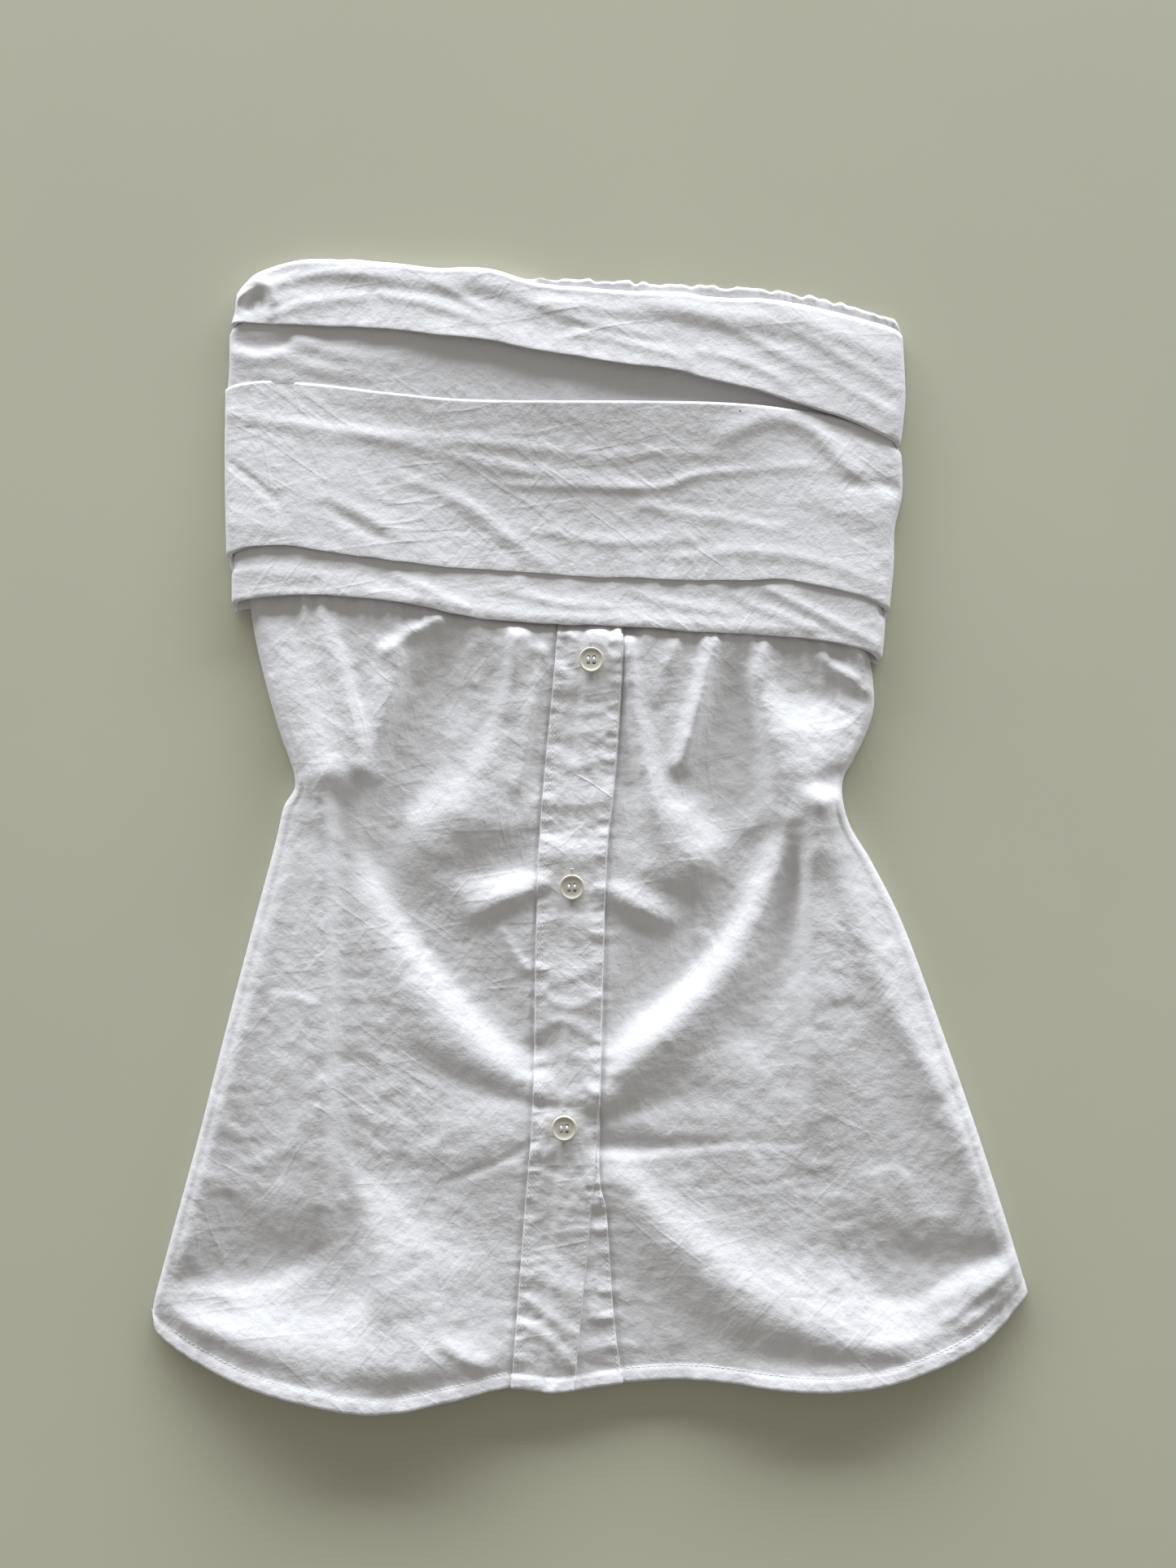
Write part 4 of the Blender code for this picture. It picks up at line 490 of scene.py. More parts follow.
# Thin creases strewn over the body: box, main direction, seed; then their count in each box and their spread
BODY_THIN_CREASES = (((-190, -250, -30, 90), 35, 5), ((10, -245, 190, 85), -30, 6))
BODY_THIN_COUNT = 80
BODY_THIN_SPREAD = 90

HEM_STEP = 0.5
HEM_GROOVE = 0.28
SEAM_GROOVE = 0.9
STITCH_GROOVE = 0.16
STITCH_GROOVE_WIDTH = 0.45
# The cloth is level, and its creases are gone, within the first distance of a button's middle
CALM_BUTTON = (4.5, 9.5)
CALM_STRIP = (4.5, 8.0)
ROLL_ANGLES = np.radians(np.linspace(0, 90, 9))
HOOK_ANGLES = np.radians(np.linspace(0, 180, 10))
# Hidden turn of the hem: distance beyond the edge and below it
HEM_TURN = ((0.3, 0.3), (0.4, 0.7), (0.25, 1.05), (-0.4, 1.25), (-2, 1.3), (-4, 1.3), (-5.8, 1.3))
# Button in section: distance in from its edge with the height from below, then with the depth from above
BUTTON_UNDERSIDE = ((1.3, 0), (0.6, 0.15), (0.1, 0.6), (0, 1.1))
BUTTON_RIM = ((0, 0.6), (0.12, 0.22), (0.35, 0.03), (0.55, 0), (0.8, 0.05), (1.05, 0.2), (1.35, 0.38),
              (1.75, 0.48), (2.3, 0.52))
BUTTON_WELL = 0.58


def ease(low, high, value):
    """Smooth step from 0 at low to 1 at high."""
    t = np.clip((value - low) / (high - low), 0.0, 1.0)
    return t * t * (3.0 - 2.0 * t)


def between(a, b, c, d, t):
    """Catmull-Rom curve from b to c."""
    return 0.5 * (2 * b + (c - a) * t + (2 * a - 5 * b + 4 * c - d) * t ** 2
                  + (3 * b - a - 3 * c + d) * t ** 3)


def smooth_rows(rows, steps=6):
    """Smooth curve through the rows, every column alike."""
    points = np.array(rows, float)
    ends = np.vstack([2 * points[0] - points[1], points, 2 * points[-1] - points[-2]])
    share = np.linspace(0, 1, steps, endpoint=False)[:, None]
    parts = [between(*four, share) for four in zip(ends[:-3], ends[1:-2], ends[2:-1], ends[3:])]
    return np.vstack(parts + [points[-1:]])


def lengths(curve):
    """Length of a curve up to each of its points."""
    return np.concatenate([[0], np.cumsum(np.hypot(*np.diff(curve, axis=0).T))])


def along(table, shares):
    """Points on the smooth curve through a table, at shares of its length."""
    curve = smooth_rows(table)
    length = lengths(curve)
    length /= length[-1]
    return np.column_stack([np.interp(shares, length, curve[:, 0]), np.interp(shares, length, curve[:, 1])])


def column_at(table, key, column, value):
    """Read a column of a table at a value of its key column."""
    curve = smooth_rows(table)
    curve = curve[np.argsort(curve[:, key])]
    return np.interp(value, curve[:, key], curve[:, column])


def y_at(table, x):
    return column_at(table, 0, 1, x)


def x_at(table, y):
    return column_at(table, 1, 0, y)


def fold_height(x, y, one):
    """Height that one fold adds: a soft ridge or trough along its rows."""
    total = np.zeros(x.shape)
    rows = smooth_rows(one.rows)
    margin = 2.4 * rows[:, 3:5].max() / min(one.ends)
    near = ((x > rows[:, 0].min() - margin) & (x < rows[:, 0].max() + margin)
            & (y > rows[:, 1].min() - margin) & (y < rows[:, 1].max() + margin))
    if not near.any():
        return total
    px, py = x[near], y[near]
    nearest = np.full(px.shape, np.inf)
    height = np.zeros(px.shape)
    for a, b in zip(rows[:-1], rows[1:]):
        step_x, step_y = b[0] - a[0], b[1] - a[1]
        length = math.hypot(step_x, step_y)
        share = np.clip(((px - a[0]) * step_x + (py - a[1]) * step_y) / length ** 2, 0, 1)
        off_x, off_y = px - a[0] - share * step_x, py - a[1] - share * step_y
        distance = np.hypot(off_x, off_y)
        beyond = (off_x * step_x + off_y * step_y) / length
        stretch = np.where(beyond < 0, one.ends[0], one.ends[1])
        reach = np.sqrt(np.maximum(distance ** 2 - beyond ** 2, 0) + (beyond / stretch) ** 2)
        side = (step_x * off_y - step_y * off_x) / length / np.maximum(distance, 1e-6)
        peak, left, right = (a[k] + (b[k] - a[k]) * share for k in (2, 3, 4))
        width = left * (0.5 + 0.5 * side) + right * (0.5 - 0.5 * side)
        closer = distance < nearest
        nearest = np.where(closer, distance, nearest)
        height = np.where(closer, peak * np.exp(-(reach / width) ** 2), height)
    total[near] = height
    return total


def hashed(i, j, seed):
    """Repeatable random numbers from 0 to 1 for whole-number places."""
    wave = np.sin(i * 127.1 + j * 311.7 + seed * 74.7) * 43758.5453
    return wave - np.floor(wave)


def noise(x, y, wave_x, wave_y, seed, turn=0.0):
    """Smooth random waves between -1 and 1, as long as given in each direction and turned by degrees."""
    c, s = math.cos(math.radians(turn)), math.sin(math.radians(turn))
    u, v = (x * c + y * s) / wave_x + 0.37 * seed, (-x * s + y * c) / wave_y + 0.61 * seed
    i, j = np.floor(u), np.floor(v)
    fu, fv = u - i, v - j
    fu = fu ** 3 * (fu * (fu * 6 - 15) + 10)
    fv = fv ** 3 * (fv * (fv * 6 - 15) + 10)
    low = hashed(i, j, seed) * (1 - fu) + hashed(i + 1, j, seed) * fu
    high = hashed(i, j + 1, seed) * (1 - fu) + hashed(i + 1, j + 1, seed) * fu
    return 2 * (low * (1 - fv) + high * fv) - 1


def facets(x, y, cell, slope, seed):
    """Crumpled cloth: small planes with tilts of their own that meet in soft creases."""
    i, j = np.floor(x / cell), np.floor(y / cell)
    weights = np.zeros(x.shape)
    height = np.zeros(x.shape)
    for di in (-1, 0, 1):
        for dj in (-1, 0, 1):
            ci, cj = i + di, j + dj
            off_x = x - (ci + 0.5 + 0.8 * (hashed(ci, cj, seed) - 0.5)) * cell
            off_y = y - (cj + 0.5 + 0.8 * (hashed(ci, cj, seed + 1) - 0.5)) * cell
            weight = np.exp(-(off_x ** 2 + off_y ** 2) / (0.29 * cell) ** 2) + 1e-9
            tilt_x = 2 * hashed(ci, cj, seed + 2) - 1
            tilt_y = 2 * hashed(ci, cj, seed + 3) - 1
            height += weight * slope * (tilt_x * off_x + tilt_y * off_y)
            weights += weight
    return height / weights


def crumple(x, y, seed):
    """Fine creases of washed cotton, stronger in some places than in others."""
    patch = 0.8 + 0.4 * noise(x, y, 46, 38, seed, 20)
    return sum(facets(x, y, cell, slope, seed + step) for cell, slope, step in CRUMPLE) * patch


def waves(x, y, table, seed=0, base=0.0):
    """Sum of random waves over a base."""
    for height, wave_x, wave_y, step in table:
        base = base + height * noise(x, y, wave_x, wave_y, seed + step)
    return base


def folded(height, x, y, folds, scale=1.0):
    """Height with folds added."""
    for one in folds:
        height = height + scale * fold_height(x, y, one)
    return height


def random_creases(x, y, box, count, turn, spread, seed):
    """Thin straight creases strewn over a box, turned about a main direction in degrees."""
    rng = np.random.default_rng(seed)
    height = np.zeros(x.shape)
    for _ in range(count):
        length = 8 + 24 * rng.random() ** 2
        angle = math.radians(turn + spread * rng.uniform(-1, 1))
        step_x, step_y = math.cos(angle) * length / 2, math.sin(angle) * length / 2
        at_x, at_y = rng.uniform(box[0], box[2]), rng.uniform(box[1], box[3])
        bend = rng.uniform(-0.08, 0.08) * length
        peak = rng.choice((-1, 1)) * rng.uniform(0.08, 0.26)
        first, second = rng.uniform(1.1, 2.6, 2)
        height += fold_height(x, y, fold(
            "thin", (at_x - step_x, at_y - step_y, peak * 0.5, first, second),
            (at_x - bend * math.sin(angle), at_y + bend * math.cos(angle), peak, first, second),
            (at_x + step_x, at_y + step_y, peak * 0.4, first, second)))
    return height


def blurred(grid, spread):
    """Grid softened by a Gaussian, its spread given in cells."""
    reach = int(math.ceil(3 * spread))
    kernel = np.exp(-0.5 * (np.arange(-reach, reach + 1) / spread) ** 2)
    kernel /= kernel.sum()
    for axis in (0, 1):
        padded = np.pad(grid, [(reach, reach) if k == axis else (0, 0) for k in (0, 1)], mode="edge")
        size = grid.shape[axis]
        grid = sum(np.take(padded, range(k, k + size), axis=axis) * kernel[k] for k in range(2 * reach + 1))
    return grid


def strip_edges(y):
    """The placket's left edge, its right edge and the right edge of the strip under it, at y."""
    right = x_at(PLACKET_RIGHT, y)
    return x_at(PLACKET_LEFT, y), right, right + x_at(UNDER_SHOWS, y)


class Relief:
    """Height of the front cloth over the floor, worked out on a grid and read between its points."""

    LEFT, RIGHT, LOW, HIGH, STEP = -206.0, 206.0, -268.0, 112.0, 1.0

    def __init__(self):
        self.xs = np.arange(self.LEFT, self.RIGHT + self.STEP, self.STEP)
        self.ys = np.arange(self.LOW, self.HIGH + self.STEP, self.STEP)
        x, y = np.meshgrid(self.xs, self.ys)
        under_band = y_at(LOWER_LOW, x) - y
        above_hem = y - y_at(HEM, x)
        height = folded(y_at(BODY_BASE, y), x, y, BODY_FOLDS)
        # soft floor, so that troughs never press through the back
        over = height - PRESSED
        height = PRESSED + 0.5 * (over + np.sqrt(over ** 2 + 0.8))
        # room under the band's lip
        room = y_at(LIP_ROOM, x) + np.maximum(under_band, -6) * 0.75
        height = 0.5 * (height + room - np.sqrt((height - room) ** 2 + 0.6))
        # the cloth slopes down to the side folds
        inside = ((x - x_at(LEFT_SIDE, y), SIDE_FALL_LEFT), (x_at(RIGHT_SIDE, y) - x, SIDE_FALL_RIGHT))
        for distance, width in inside:
            share = np.clip(distance / x_at(width, y), 0, 1)
            kept = SIDE_SHARE + (1 - SIDE_SHARE) * (1 - (1 - share) ** SIDE_BEND)
            height = SLOPE_FOOT + (height - SLOPE_FOOT) * kept
        flare = y_at(HEM_HEIGHT, x) - HEM_FLARE * ease(0, HEM_DEPTH + 2, above_hem)
        height += (flare - height) * (1 - ease(HEM_DEPTH, HEM_DEPTH + HEM_REACH, above_hem))
        height = blurred(height, 1.6)
        detail = folded(0.0, x, y, BODY_CREASES) + crumple(x, y, 3)
        for box, turn, seed in BODY_THIN_CREASES:
            detail += random_creases(x, y, box, BODY_THIN_COUNT, turn, BODY_THIN_SPREAD, seed)
        # gathers under the band, soon fading out
        fading = np.exp(-np.maximum(under_band, 0) / (15 + 8 * noise(x, 0 * y, 30, 10, 31)))
        detail += fading * waves(x, y, GATHERS)
        # puckers that the seams draw in
        left, _, under = strip_edges(y)
        by_left = np.exp(-np.maximum(left - x, 0) / 6.5) * (x < left + 6)
        by_right = np.exp(-np.maximum(x - under, 0) / 6.5) * (x > under - 6)
        detail += (by_left + by_right) * waves(x, y, SEAM_PUCKERS)
        detail += np.exp(-np.maximum(above_hem - HEM_DEPTH, 0) / 5.5) * waves(x, y, HEM_PUCKERS)
        calm = ease(0.2, 1.4, height - SLOPE_FOOT)
        self.soft = height
        self.grid = np.maximum(height + detail * calm, LOWEST)

    def at(self, x, y, grid=None):
        """Height at a place, from the cloth's own grid or another."""
        column = np.clip((np.asarray(x, float) - self.LEFT) / self.STEP, 0, len(self.xs) - 1.001)
        row = np.clip((np.asarray(y, float) - self.LOW) / self.STEP, 0, len(self.ys) - 1.001)
        i, j = column.astype(int), row.astype(int)
        u, v = column - i, row - j
        g = self.grid if grid is None else grid
        low = g[j, i] * (1 - u) + g[j, i + 1] * u
        high = g[j + 1, i] * (1 - u) + g[j + 1, i + 1] * u
        return low * (1 - v) + high * v


def new_object(name, mesh, material):
    mesh.shade_smooth()
    item = bpy.data.objects.new(name, mesh)
    mesh.materials.append(material)
    bpy.context.scene.collection.objects.link(item)
    return item


def sheet_object(name, points, thickness, material):
    """Shell of cloth on a grid of points (rows, columns, xyz) in millimetres, its face upwards."""
    rows, columns = points.shape[:2]
    index = np.arange(rows * columns).reshape(rows, columns)
    cells = np.stack([index[:-1, :-1], index[1:, :-1], index[1:, 1:], index[:-1, 1:]], axis=-1).reshape(-1, 4)
    row, column = rows // 2, columns // 2
    corner = points[row, column]
    if np.cross(points[row + 1, column] - corner, points[row, column + 1] - corner)[2] < 0:
        cells = cells[:, ::-1]
    mesh = bpy.data.meshes.new(name)
    mesh.from_pydata((points.reshape(-1, 3) * MM).tolist(), [], cells.tolist())
    mesh.validate()
    item = new_object(name, mesh, material)
    shell = item.modifiers.new("thickness", "SOLIDIFY")
    shell.thickness = thickness * MM
    shell.offset = -1


def band_line(x):
    """Upper end of the body, hidden under the band's lower fold."""
    return y_at(LOWER_LOW, x) + BAND_OVERLAP


def line_rows(table, shares, shift=0.0):
    """A line down the front at each row: starts at the band, ends on the hem."""
    foot_x = table[-1].x + shift
    start_y = band_line(table[0].x + shift)
    y = start_y + (y_at(HEM, foot_x) - start_y) * shares
    return np.column_stack([x_at(table, y) + shift, y])


def coons(left, right, upper, lower, shares, across):
    """Point inside four edges at a row's share and a share across."""
    v = shares[:, None, None]
    u = across[..., None]
    corners = (left[0] * (1 - u) + right[0] * u) * (1 - v) + (left[-1] * (1 - u) + right[-1] * u) * v
    return left[:, None] * (1 - u) + right[:, None] * u + (upper * (1 - v) + lower * v) - corners


def foot_at(x):
    """Share along the hem of the point at x."""
    shares = np.linspace(0, 1, 400)
    return float(np.interp(x, along(HEM, shares)[:, 0], shares))


def half_front(side, inner_line, shares, foot_share):
    """Plan of one side of the front: columns from its side fold to the placket."""
    width = np.abs(inner_line[:, 0] - side[:, 0])
    columns = int(width.max() / CELL)
    roll = (SIDE_ROLL * (1 - np.cos(ROLL_ANGLES)))[None, :] / width[:, None]
    start = SIDE_ROLL / width[:, None]
    across = np.concatenate([roll, start + (1 - start) * np.linspace(0, 1, columns + 1)[None, 1:]], axis=1)
    upper = side[0] * (1 - across[..., None]) + inner_line[0] * across[..., None]
    upper[..., 1] = band_line(upper[..., 0])
    foot = along(HEM, foot_share[0] + (foot_share[1] - foot_share[0]) * across.ravel())
    return coons(side, inner_line, upper, foot.reshape(across.shape + (2,)), shares, across)


def with_hem(points, relief):
    """Add the turned-up hem: a step at its seam, a rounded edge and the hidden turn behind it."""
    plan = points[..., :2]
    down = plan[-1] - plan[-3]
    down /= np.maximum(np.linalg.norm(down, axis=1, keepdims=True), 1e-6)
    gone = np.linalg.norm(plan - plan[-1][None], axis=2)
    points[..., 2] += HEM_STEP * (1 - ease(HEM_DEPTH - 0.6, HEM_DEPTH + 0.5, gone))
    points[..., 2] -= HEM_GROOVE * np.exp(-((gone - HEM_DEPTH) / 0.7) ** 2)
    edge = points[-1]
    turned = []
    for out, drop in HEM_TURN:
        row = edge.copy()
        row[:, :2] += down * out
        if out < -1:
            row[:, 2] += relief.at(row[:, 0], row[:, 1]) - relief.at(edge[:, 0], edge[:, 1])
        row[:, 2] = np.maximum(row[:, 2] - drop, np.minimum(0.9, edge[:, 2]))
        turned.append(row)
    return np.concatenate([points, np.array(turned)])


def level_for_buttons(height, x, y, relief):
    """Level the cloth under each button."""
    for place in BUTTON_PLACES:
        level = relief.at(place.x, place.y, relief.soft)
        near = 1 - ease(*CALM_BUTTON, np.hypot(x - place.x, y - place.y))
        height = height + (level - height) * near
    return height


def front_panel(name, side, inner_line, extra, foot_share, shares, relief, material):
    """One front panel: its outer side rolls down to the back, its inner side goes on under the placket."""
    half = half_front(side, inner_line, shares, foot_share)
    plan = np.concatenate([half] + [line[:, None] for line in extra], axis=1)
    x, y = plan[..., 0], plan[..., 1]
    # groove that the seam of the placket draws in
    outward = (x - inner_line[:, :1]) * np.sign(side[0, 0] - inner_line[0, 0])
    groove = SEAM_GROOVE * np.exp(-((outward - 0.3) / 0.9) ** 2)
    points = np.dstack([plan, level_for_buttons(relief.at(x, y), x, y, relief) - groove])
    edge = points[:, len(ROLL_ANGLES) - 1, 2].copy()
    for column, angle in enumerate(ROLL_ANGLES):
        points[:, column, 2] = RIM + (edge - RIM) * math.sin(angle)
    points[..., 2] = np.maximum(points[..., 2], RIM)
    return sheet_object(name, with_hem(points, relief), CLOTH, material)


def strip_height(x, y, relief, layers):
    """Height of the top of a strip sewn on the front, on so many strips below it."""
    base = level_for_buttons(relief.at(x, y), x, y, relief)
    return base + (STRIP_CLOTH + STRIP_GAP) * (1 + layers)


def strip_detail(x, y, left, right, creases, seed):
    """Folded edges, seam grooves and creases of a placket."""
    from_left, from_right = x - left, right - x
    inside = np.minimum(from_left, from_right)
    height = -STRIP_DROP * (1 - ease(0, STRIP_EDGE, inside))
    for offset in (EDGE_STITCH, SECOND_STITCH):
        height -= STITCH_GROOVE * np.exp(-((from_left - offset) / STITCH_GROOVE_WIDTH) ** 2)
    height -= STITCH_GROOVE * np.exp(-((from_right - EDGE_STITCH) / STITCH_GROOVE_WIDTH) ** 2)
    height += np.exp(-inside / 5.0) * waves(x, y, STRIP_PUCKERS, seed)
    calm = np.ones(x.shape)
    for place in BUTTON_PLACES:
        calm *= ease(*CALM_STRIP, np.hypot(x - place.x, y - place.y))
    height = folded(height, x, y, creases, STRIP_CRUMPLE) + STRIP_CRUMPLE * crumple(x, y, seed + 4)
    return height * np.where(inside < 1.2, 1, calm)


def strip_object(name, left_line, right_line, shares, layers_at, creases, seed, relief, material):
    """A strip sewn on the front, following its relief."""
    width = float(np.max(right_line[:, 0] - left_line[:, 0]))
    inner = np.linspace(0.9, width - 0.9, int(width / STRIP_CELL))
    across = np.concatenate([[0, 0.25, 0.55], inner, [width - 0.55, width - 0.25, width]]) / width
    plan = left_line[:, None] * (1 - across[None, :, None]) + right_line[:, None] * across[None, :, None]
    foot_y = y_at(HEM, plan[-1, :, 0])
    plan[..., 1] += (foot_y - plan[-1, :, 1])[None, :] * (shares[:, None] ** 8)
    x, y = plan[..., 0], plan[..., 1]
    left, right = plan[:, :1, 0], plan[:, -1:, 0]
    z = strip_height(x, y, relief, layers_at(x - left)) + strip_detail(x, y, left, right, creases, seed)
    return sheet_object(name, with_hem(np.dstack([plan, z]), relief), STRIP_CLOTH, material)


def station_height(stations, x, share):
    """Height of a band layer at x and at a share from its upper end to its lower edge."""
    columns = np.stack([column_at(stations, 0, k, x) for k in range(1, len(stations[0]))])
    columns = np.concatenate([2 * columns[:1] - columns[1:2], columns, 2 * columns[-1:] - columns[-2:-1]])
    place = np.clip(share, 0, 1) * (len(columns) - 3)
    whole = np.minimum(place.astype(int), len(columns) - 4)
    index = tuple(np.indices(x.shape))
    return between(*(columns[(whole + k,) + index] for k in range(4)), place - whole)


def band_cloth(layer, seed, material):
    """One fold of the band: rolled at both sides and turned under along its lower edge."""
    top_fold = layer.top is TOP_EDGE
    reach = TOP_ROLL if top_fold else 0.0
    low_extra = INSET_OVERLAP if not layer.radius else 0.0
    rows = [("roll", angle) for angle in ROLL_ANGLES[:-1]] if top_fold else []
    tall = float(np.mean([p.y for p in layer.top]) - np.mean([p.y for p in layer.low])) + layer.tuck
    rows += [("flat", share) for share in np.linspace(0, 1, max(int(tall / CELL), 8))]
    if layer.radius:
        rows += [("hook", angle) for angle in HOOK_ANGLES[1:]]
        rows += [("under", share * layer.depth) for share in (0.3, 0.65, 1)]
    left_table, right_table = layer.sides
    rolled = BAND_ROLL * (1 - np.cos(ROLL_ANGLES))
    first, last = left_table[0].x + BAND_ROLL, right_table[0].x - BAND_ROLL
    ends = np.linspace(0, 1, int((last - first) / CELL) + 1)[1:-1]
    x = np.concatenate([first - BAND_ROLL + rolled, first + (last - first) * ends,
                        last + BAND_ROLL - rolled[::-1]])
    wander = waves(x, 0 * x, EDGE_WANDER, seed)
    top = y_at(layer.top, x) + layer.tuck + (wander if top_fold else 0)
    low = y_at(layer.low, x) - low_extra + wander
    radius = layer.radius * (1 + 0.12 * noise(x, 0 * x, 26, 9, seed + 2))
    foot = low + radius

    box = (float(x.min()), float(low.min()), float(x.max()), float(top.max()))
    scale = np.concatenate([np.sin(ROLL_ANGLES), np.ones(len(ends)), np.sin(ROLL_ANGLES)[::-1]])
    result = []
    for kind, value in rows:
        inset, fade, top_scale = 0.0, 1.0, 1.0
        level = station_height(layer.heights, x, np.full(x.shape, value if kind == "flat" else 1.0))
        if kind == "roll":
            level = station_height(layer.heights, x, np.zeros(x.shape))
            y = top - reach * (1 - math.cos(value))
            top_scale = fade = math.sin(value)
            z = level
        elif kind == "flat":
            y = top - reach + (foot - top + reach) * value
            z = level
        elif kind == "hook":
            y = foot - radius * math.sin(value)
            z = level - radius + radius * math.cos(value)
            inset = HOOK_INSET / 2 * (1 - math.cos(value))
        else:
            y = foot + np.minimum(value, FLAP_SHARE * (top - reach - foot))
            level = station_height(layer.heights, x, (top - reach - y) / (top - reach - foot))
            z = level - 2 * radius - 0.25
            inset = HOOK_INSET
        left, right = x_at(left_table, y) + inset, x_at(right_table, y) - inset
        count = len(ROLL_ANGLES)
        start, stop = left[count] + BAND_ROLL, right[-count - 1] - BAND_ROLL
        points_x = np.concatenate([left[:count] + rolled, start + (stop - start) * ends,
                                   right[-count:] - rolled[::-1]])
        strewn = random_creases(points_x, y, box, int(box[3] - box[1]), layer.turn, 16, seed + 6)
        detail = BAND_CRUMPLE * crumple(points_x, y, seed + 5) + BAND_THIN_CREASES * strewn
        detail = folded(detail, points_x, y, layer.creases)
        if layer.radius:
            detail = detail + np.exp(-np.maximum(y - foot, 0) / 7) * waves(points_x, y, LIP_WAVES, seed)
        z = RIM + 0.4 + (z - RIM - 0.4 + detail * fade) * scale * top_scale
        result.append(np.column_stack([points_x, y, z]))
    return sheet_object(layer.name, np.array(result), CLOTH, material)


def flat_sheet(name, upper, lower, left_table, right_table, cell, height_at, material):
    """Sheet lying on the floor between an upper and a lower line and two sides."""
    tall = int(abs(upper[:, 1].mean() - lower[:, 1].mean()) / cell)
    shares = np.linspace(0, 1, tall)
    left, right = along(left_table, shares), along(right_table, shares)
    if left[0, 1] < left[-1, 1]:
        left = left[::-1]
    if right[0, 1] < right[-1, 1]:
        right = right[::-1]
    upper[0], upper[-1], lower[0], lower[-1] = left[0], right[0], left[-1], right[-1]
    across = np.tile(np.linspace(0, 1, len(upper)), (tall, 1))
    plan = coons(left, right, upper[None], lower[None], shares, across)
    z = height_at(plan[..., 0], plan[..., 1])
    return sheet_object(name, np.dstack([plan, z]), CLOTH, material)


def tube(bm, path, radius):
    """Add a closed tube along a path of points in millimetres."""
    path = np.array(path, float)
    rings = []
    for k, point in enumerate(path):
        ahead = path[min(k + 1, len(path) - 1)] - path[max(k - 1, 0)]
        ahead /= max(np.linalg.norm(ahead), 1e-9)
        side = np.cross(ahead, (0, 0, 1))
        if np.linalg.norm(side) < 1e-3:
            side = np.array((1.0, 0, 0))
        side /= np.linalg.norm(side)
        up = np.cross(side, ahead)
        size = radius * (0.55 if k in (0, len(path) - 1) else 1.0)
        ring = []
        for corner in range(THREAD_SIDES):
            angle = 2 * math.pi * corner / THREAD_SIDES
            ring.append(bm.verts.new((point + size * (math.cos(angle) * side + math.sin(angle) * up)) * MM))
        rings.append(ring)
    for first, second in zip(rings, rings[1:]):
        for k in range(THREAD_SIDES):
            after = (k + 1) % THREAD_SIDES
            bm.faces.new((first[k], first[after], second[after], second[k]))
    bm.faces.new(rings[0][::-1])
    bm.faces.new(rings[-1])


def built_mesh(name, build):
    """Mesh of what a function adds to an empty bmesh."""
    bm = bmesh.new()
    build(bm)
    bmesh.ops.recalc_face_normals(bm, faces=bm.faces[:])
    mesh = bpy.data.meshes.new(name)
    bm.to_mesh(mesh)
    bm.free()
    return mesh


def thread_object(name, paths, width, material):
    """Lengths of sewing thread as one piece."""
    def tubes(bm):
        for path in paths:
            tube(bm, path, width / 2)

    new_object(name, built_mesh(name, tubes), material)


def path_on(points, height_at, rise):
    """Path of a thread over plan points, with its rise over the cloth."""
    plan = np.array(points)
    return np.column_stack([plan, height_at(*plan.T) + rise])


def seam_paths(seam, height_at, rng):
    """Stitches along a line of plan points: short lengths of thread with their ends in the cloth."""
    length = lengths(seam)
    starts = np.arange(0.5, length[-1] - STITCH_LENGTH, STITCH_PITCH)
    starts = starts + rng.uniform(-0.15, 0.15, len(starts))
    shares = np.array([0.0, 0.25, 0.5, 0.75, 1.0])
    rise = np.array([-0.12, 0.05, 0.09, 0.05, -0.12])
    paths = []
    for start in starts:
        at = start + STITCH_LENGTH * shares
        plan = np.column_stack([np.interp(at, length, seam[:, 0]), np.interp(at, length, seam[:, 1])])
        paths.append(path_on(plan, height_at, rise))
    return paths


def turned_button(bm):
    """Four-hole button with a raised rim, turned from its profile."""
    radius = BUTTON_DIAMETER / 2
    profile = [(0, 0)] + [(radius - inset, height) for inset, height in BUTTON_UNDERSIDE]
    profile += [(radius - inset, BUTTON_THICK - depth) for inset, depth in BUTTON_RIM]
    profile.append((0, BUTTON_THICK - BUTTON_WELL))
    verts = [bm.verts.new((r * MM, 0, z * MM)) for r, z in profile]
    edges = [bm.edges.new(pair) for pair in zip(verts, verts[1:])]
    bmesh.ops.spin(bm, geom=verts + edges, cent=(0, 0, 0), axis=(0, 0, 1), angle=2 * math.pi, steps=56)
    bmesh.ops.remove_doubles(bm, verts=bm.verts[:], dist=0.000005)


def four_drills(bm):
    """Rods in the places of the holes."""
    half = HOLE_SPACING / 2 * MM
    radius = HOLE_DIAMETER / 2 * MM
    for x, y in ((-half, -half), (-half, half), (half, -half), (half, half)):
        made = bmesh.ops.create_cone(bm, cap_ends=True, segments=20, radius1=radius, radius2=radius,
                                     depth=3 * BUTTON_THICK * MM)
        bmesh.ops.translate(bm, verts=made["verts"], vec=(x, y, 0))


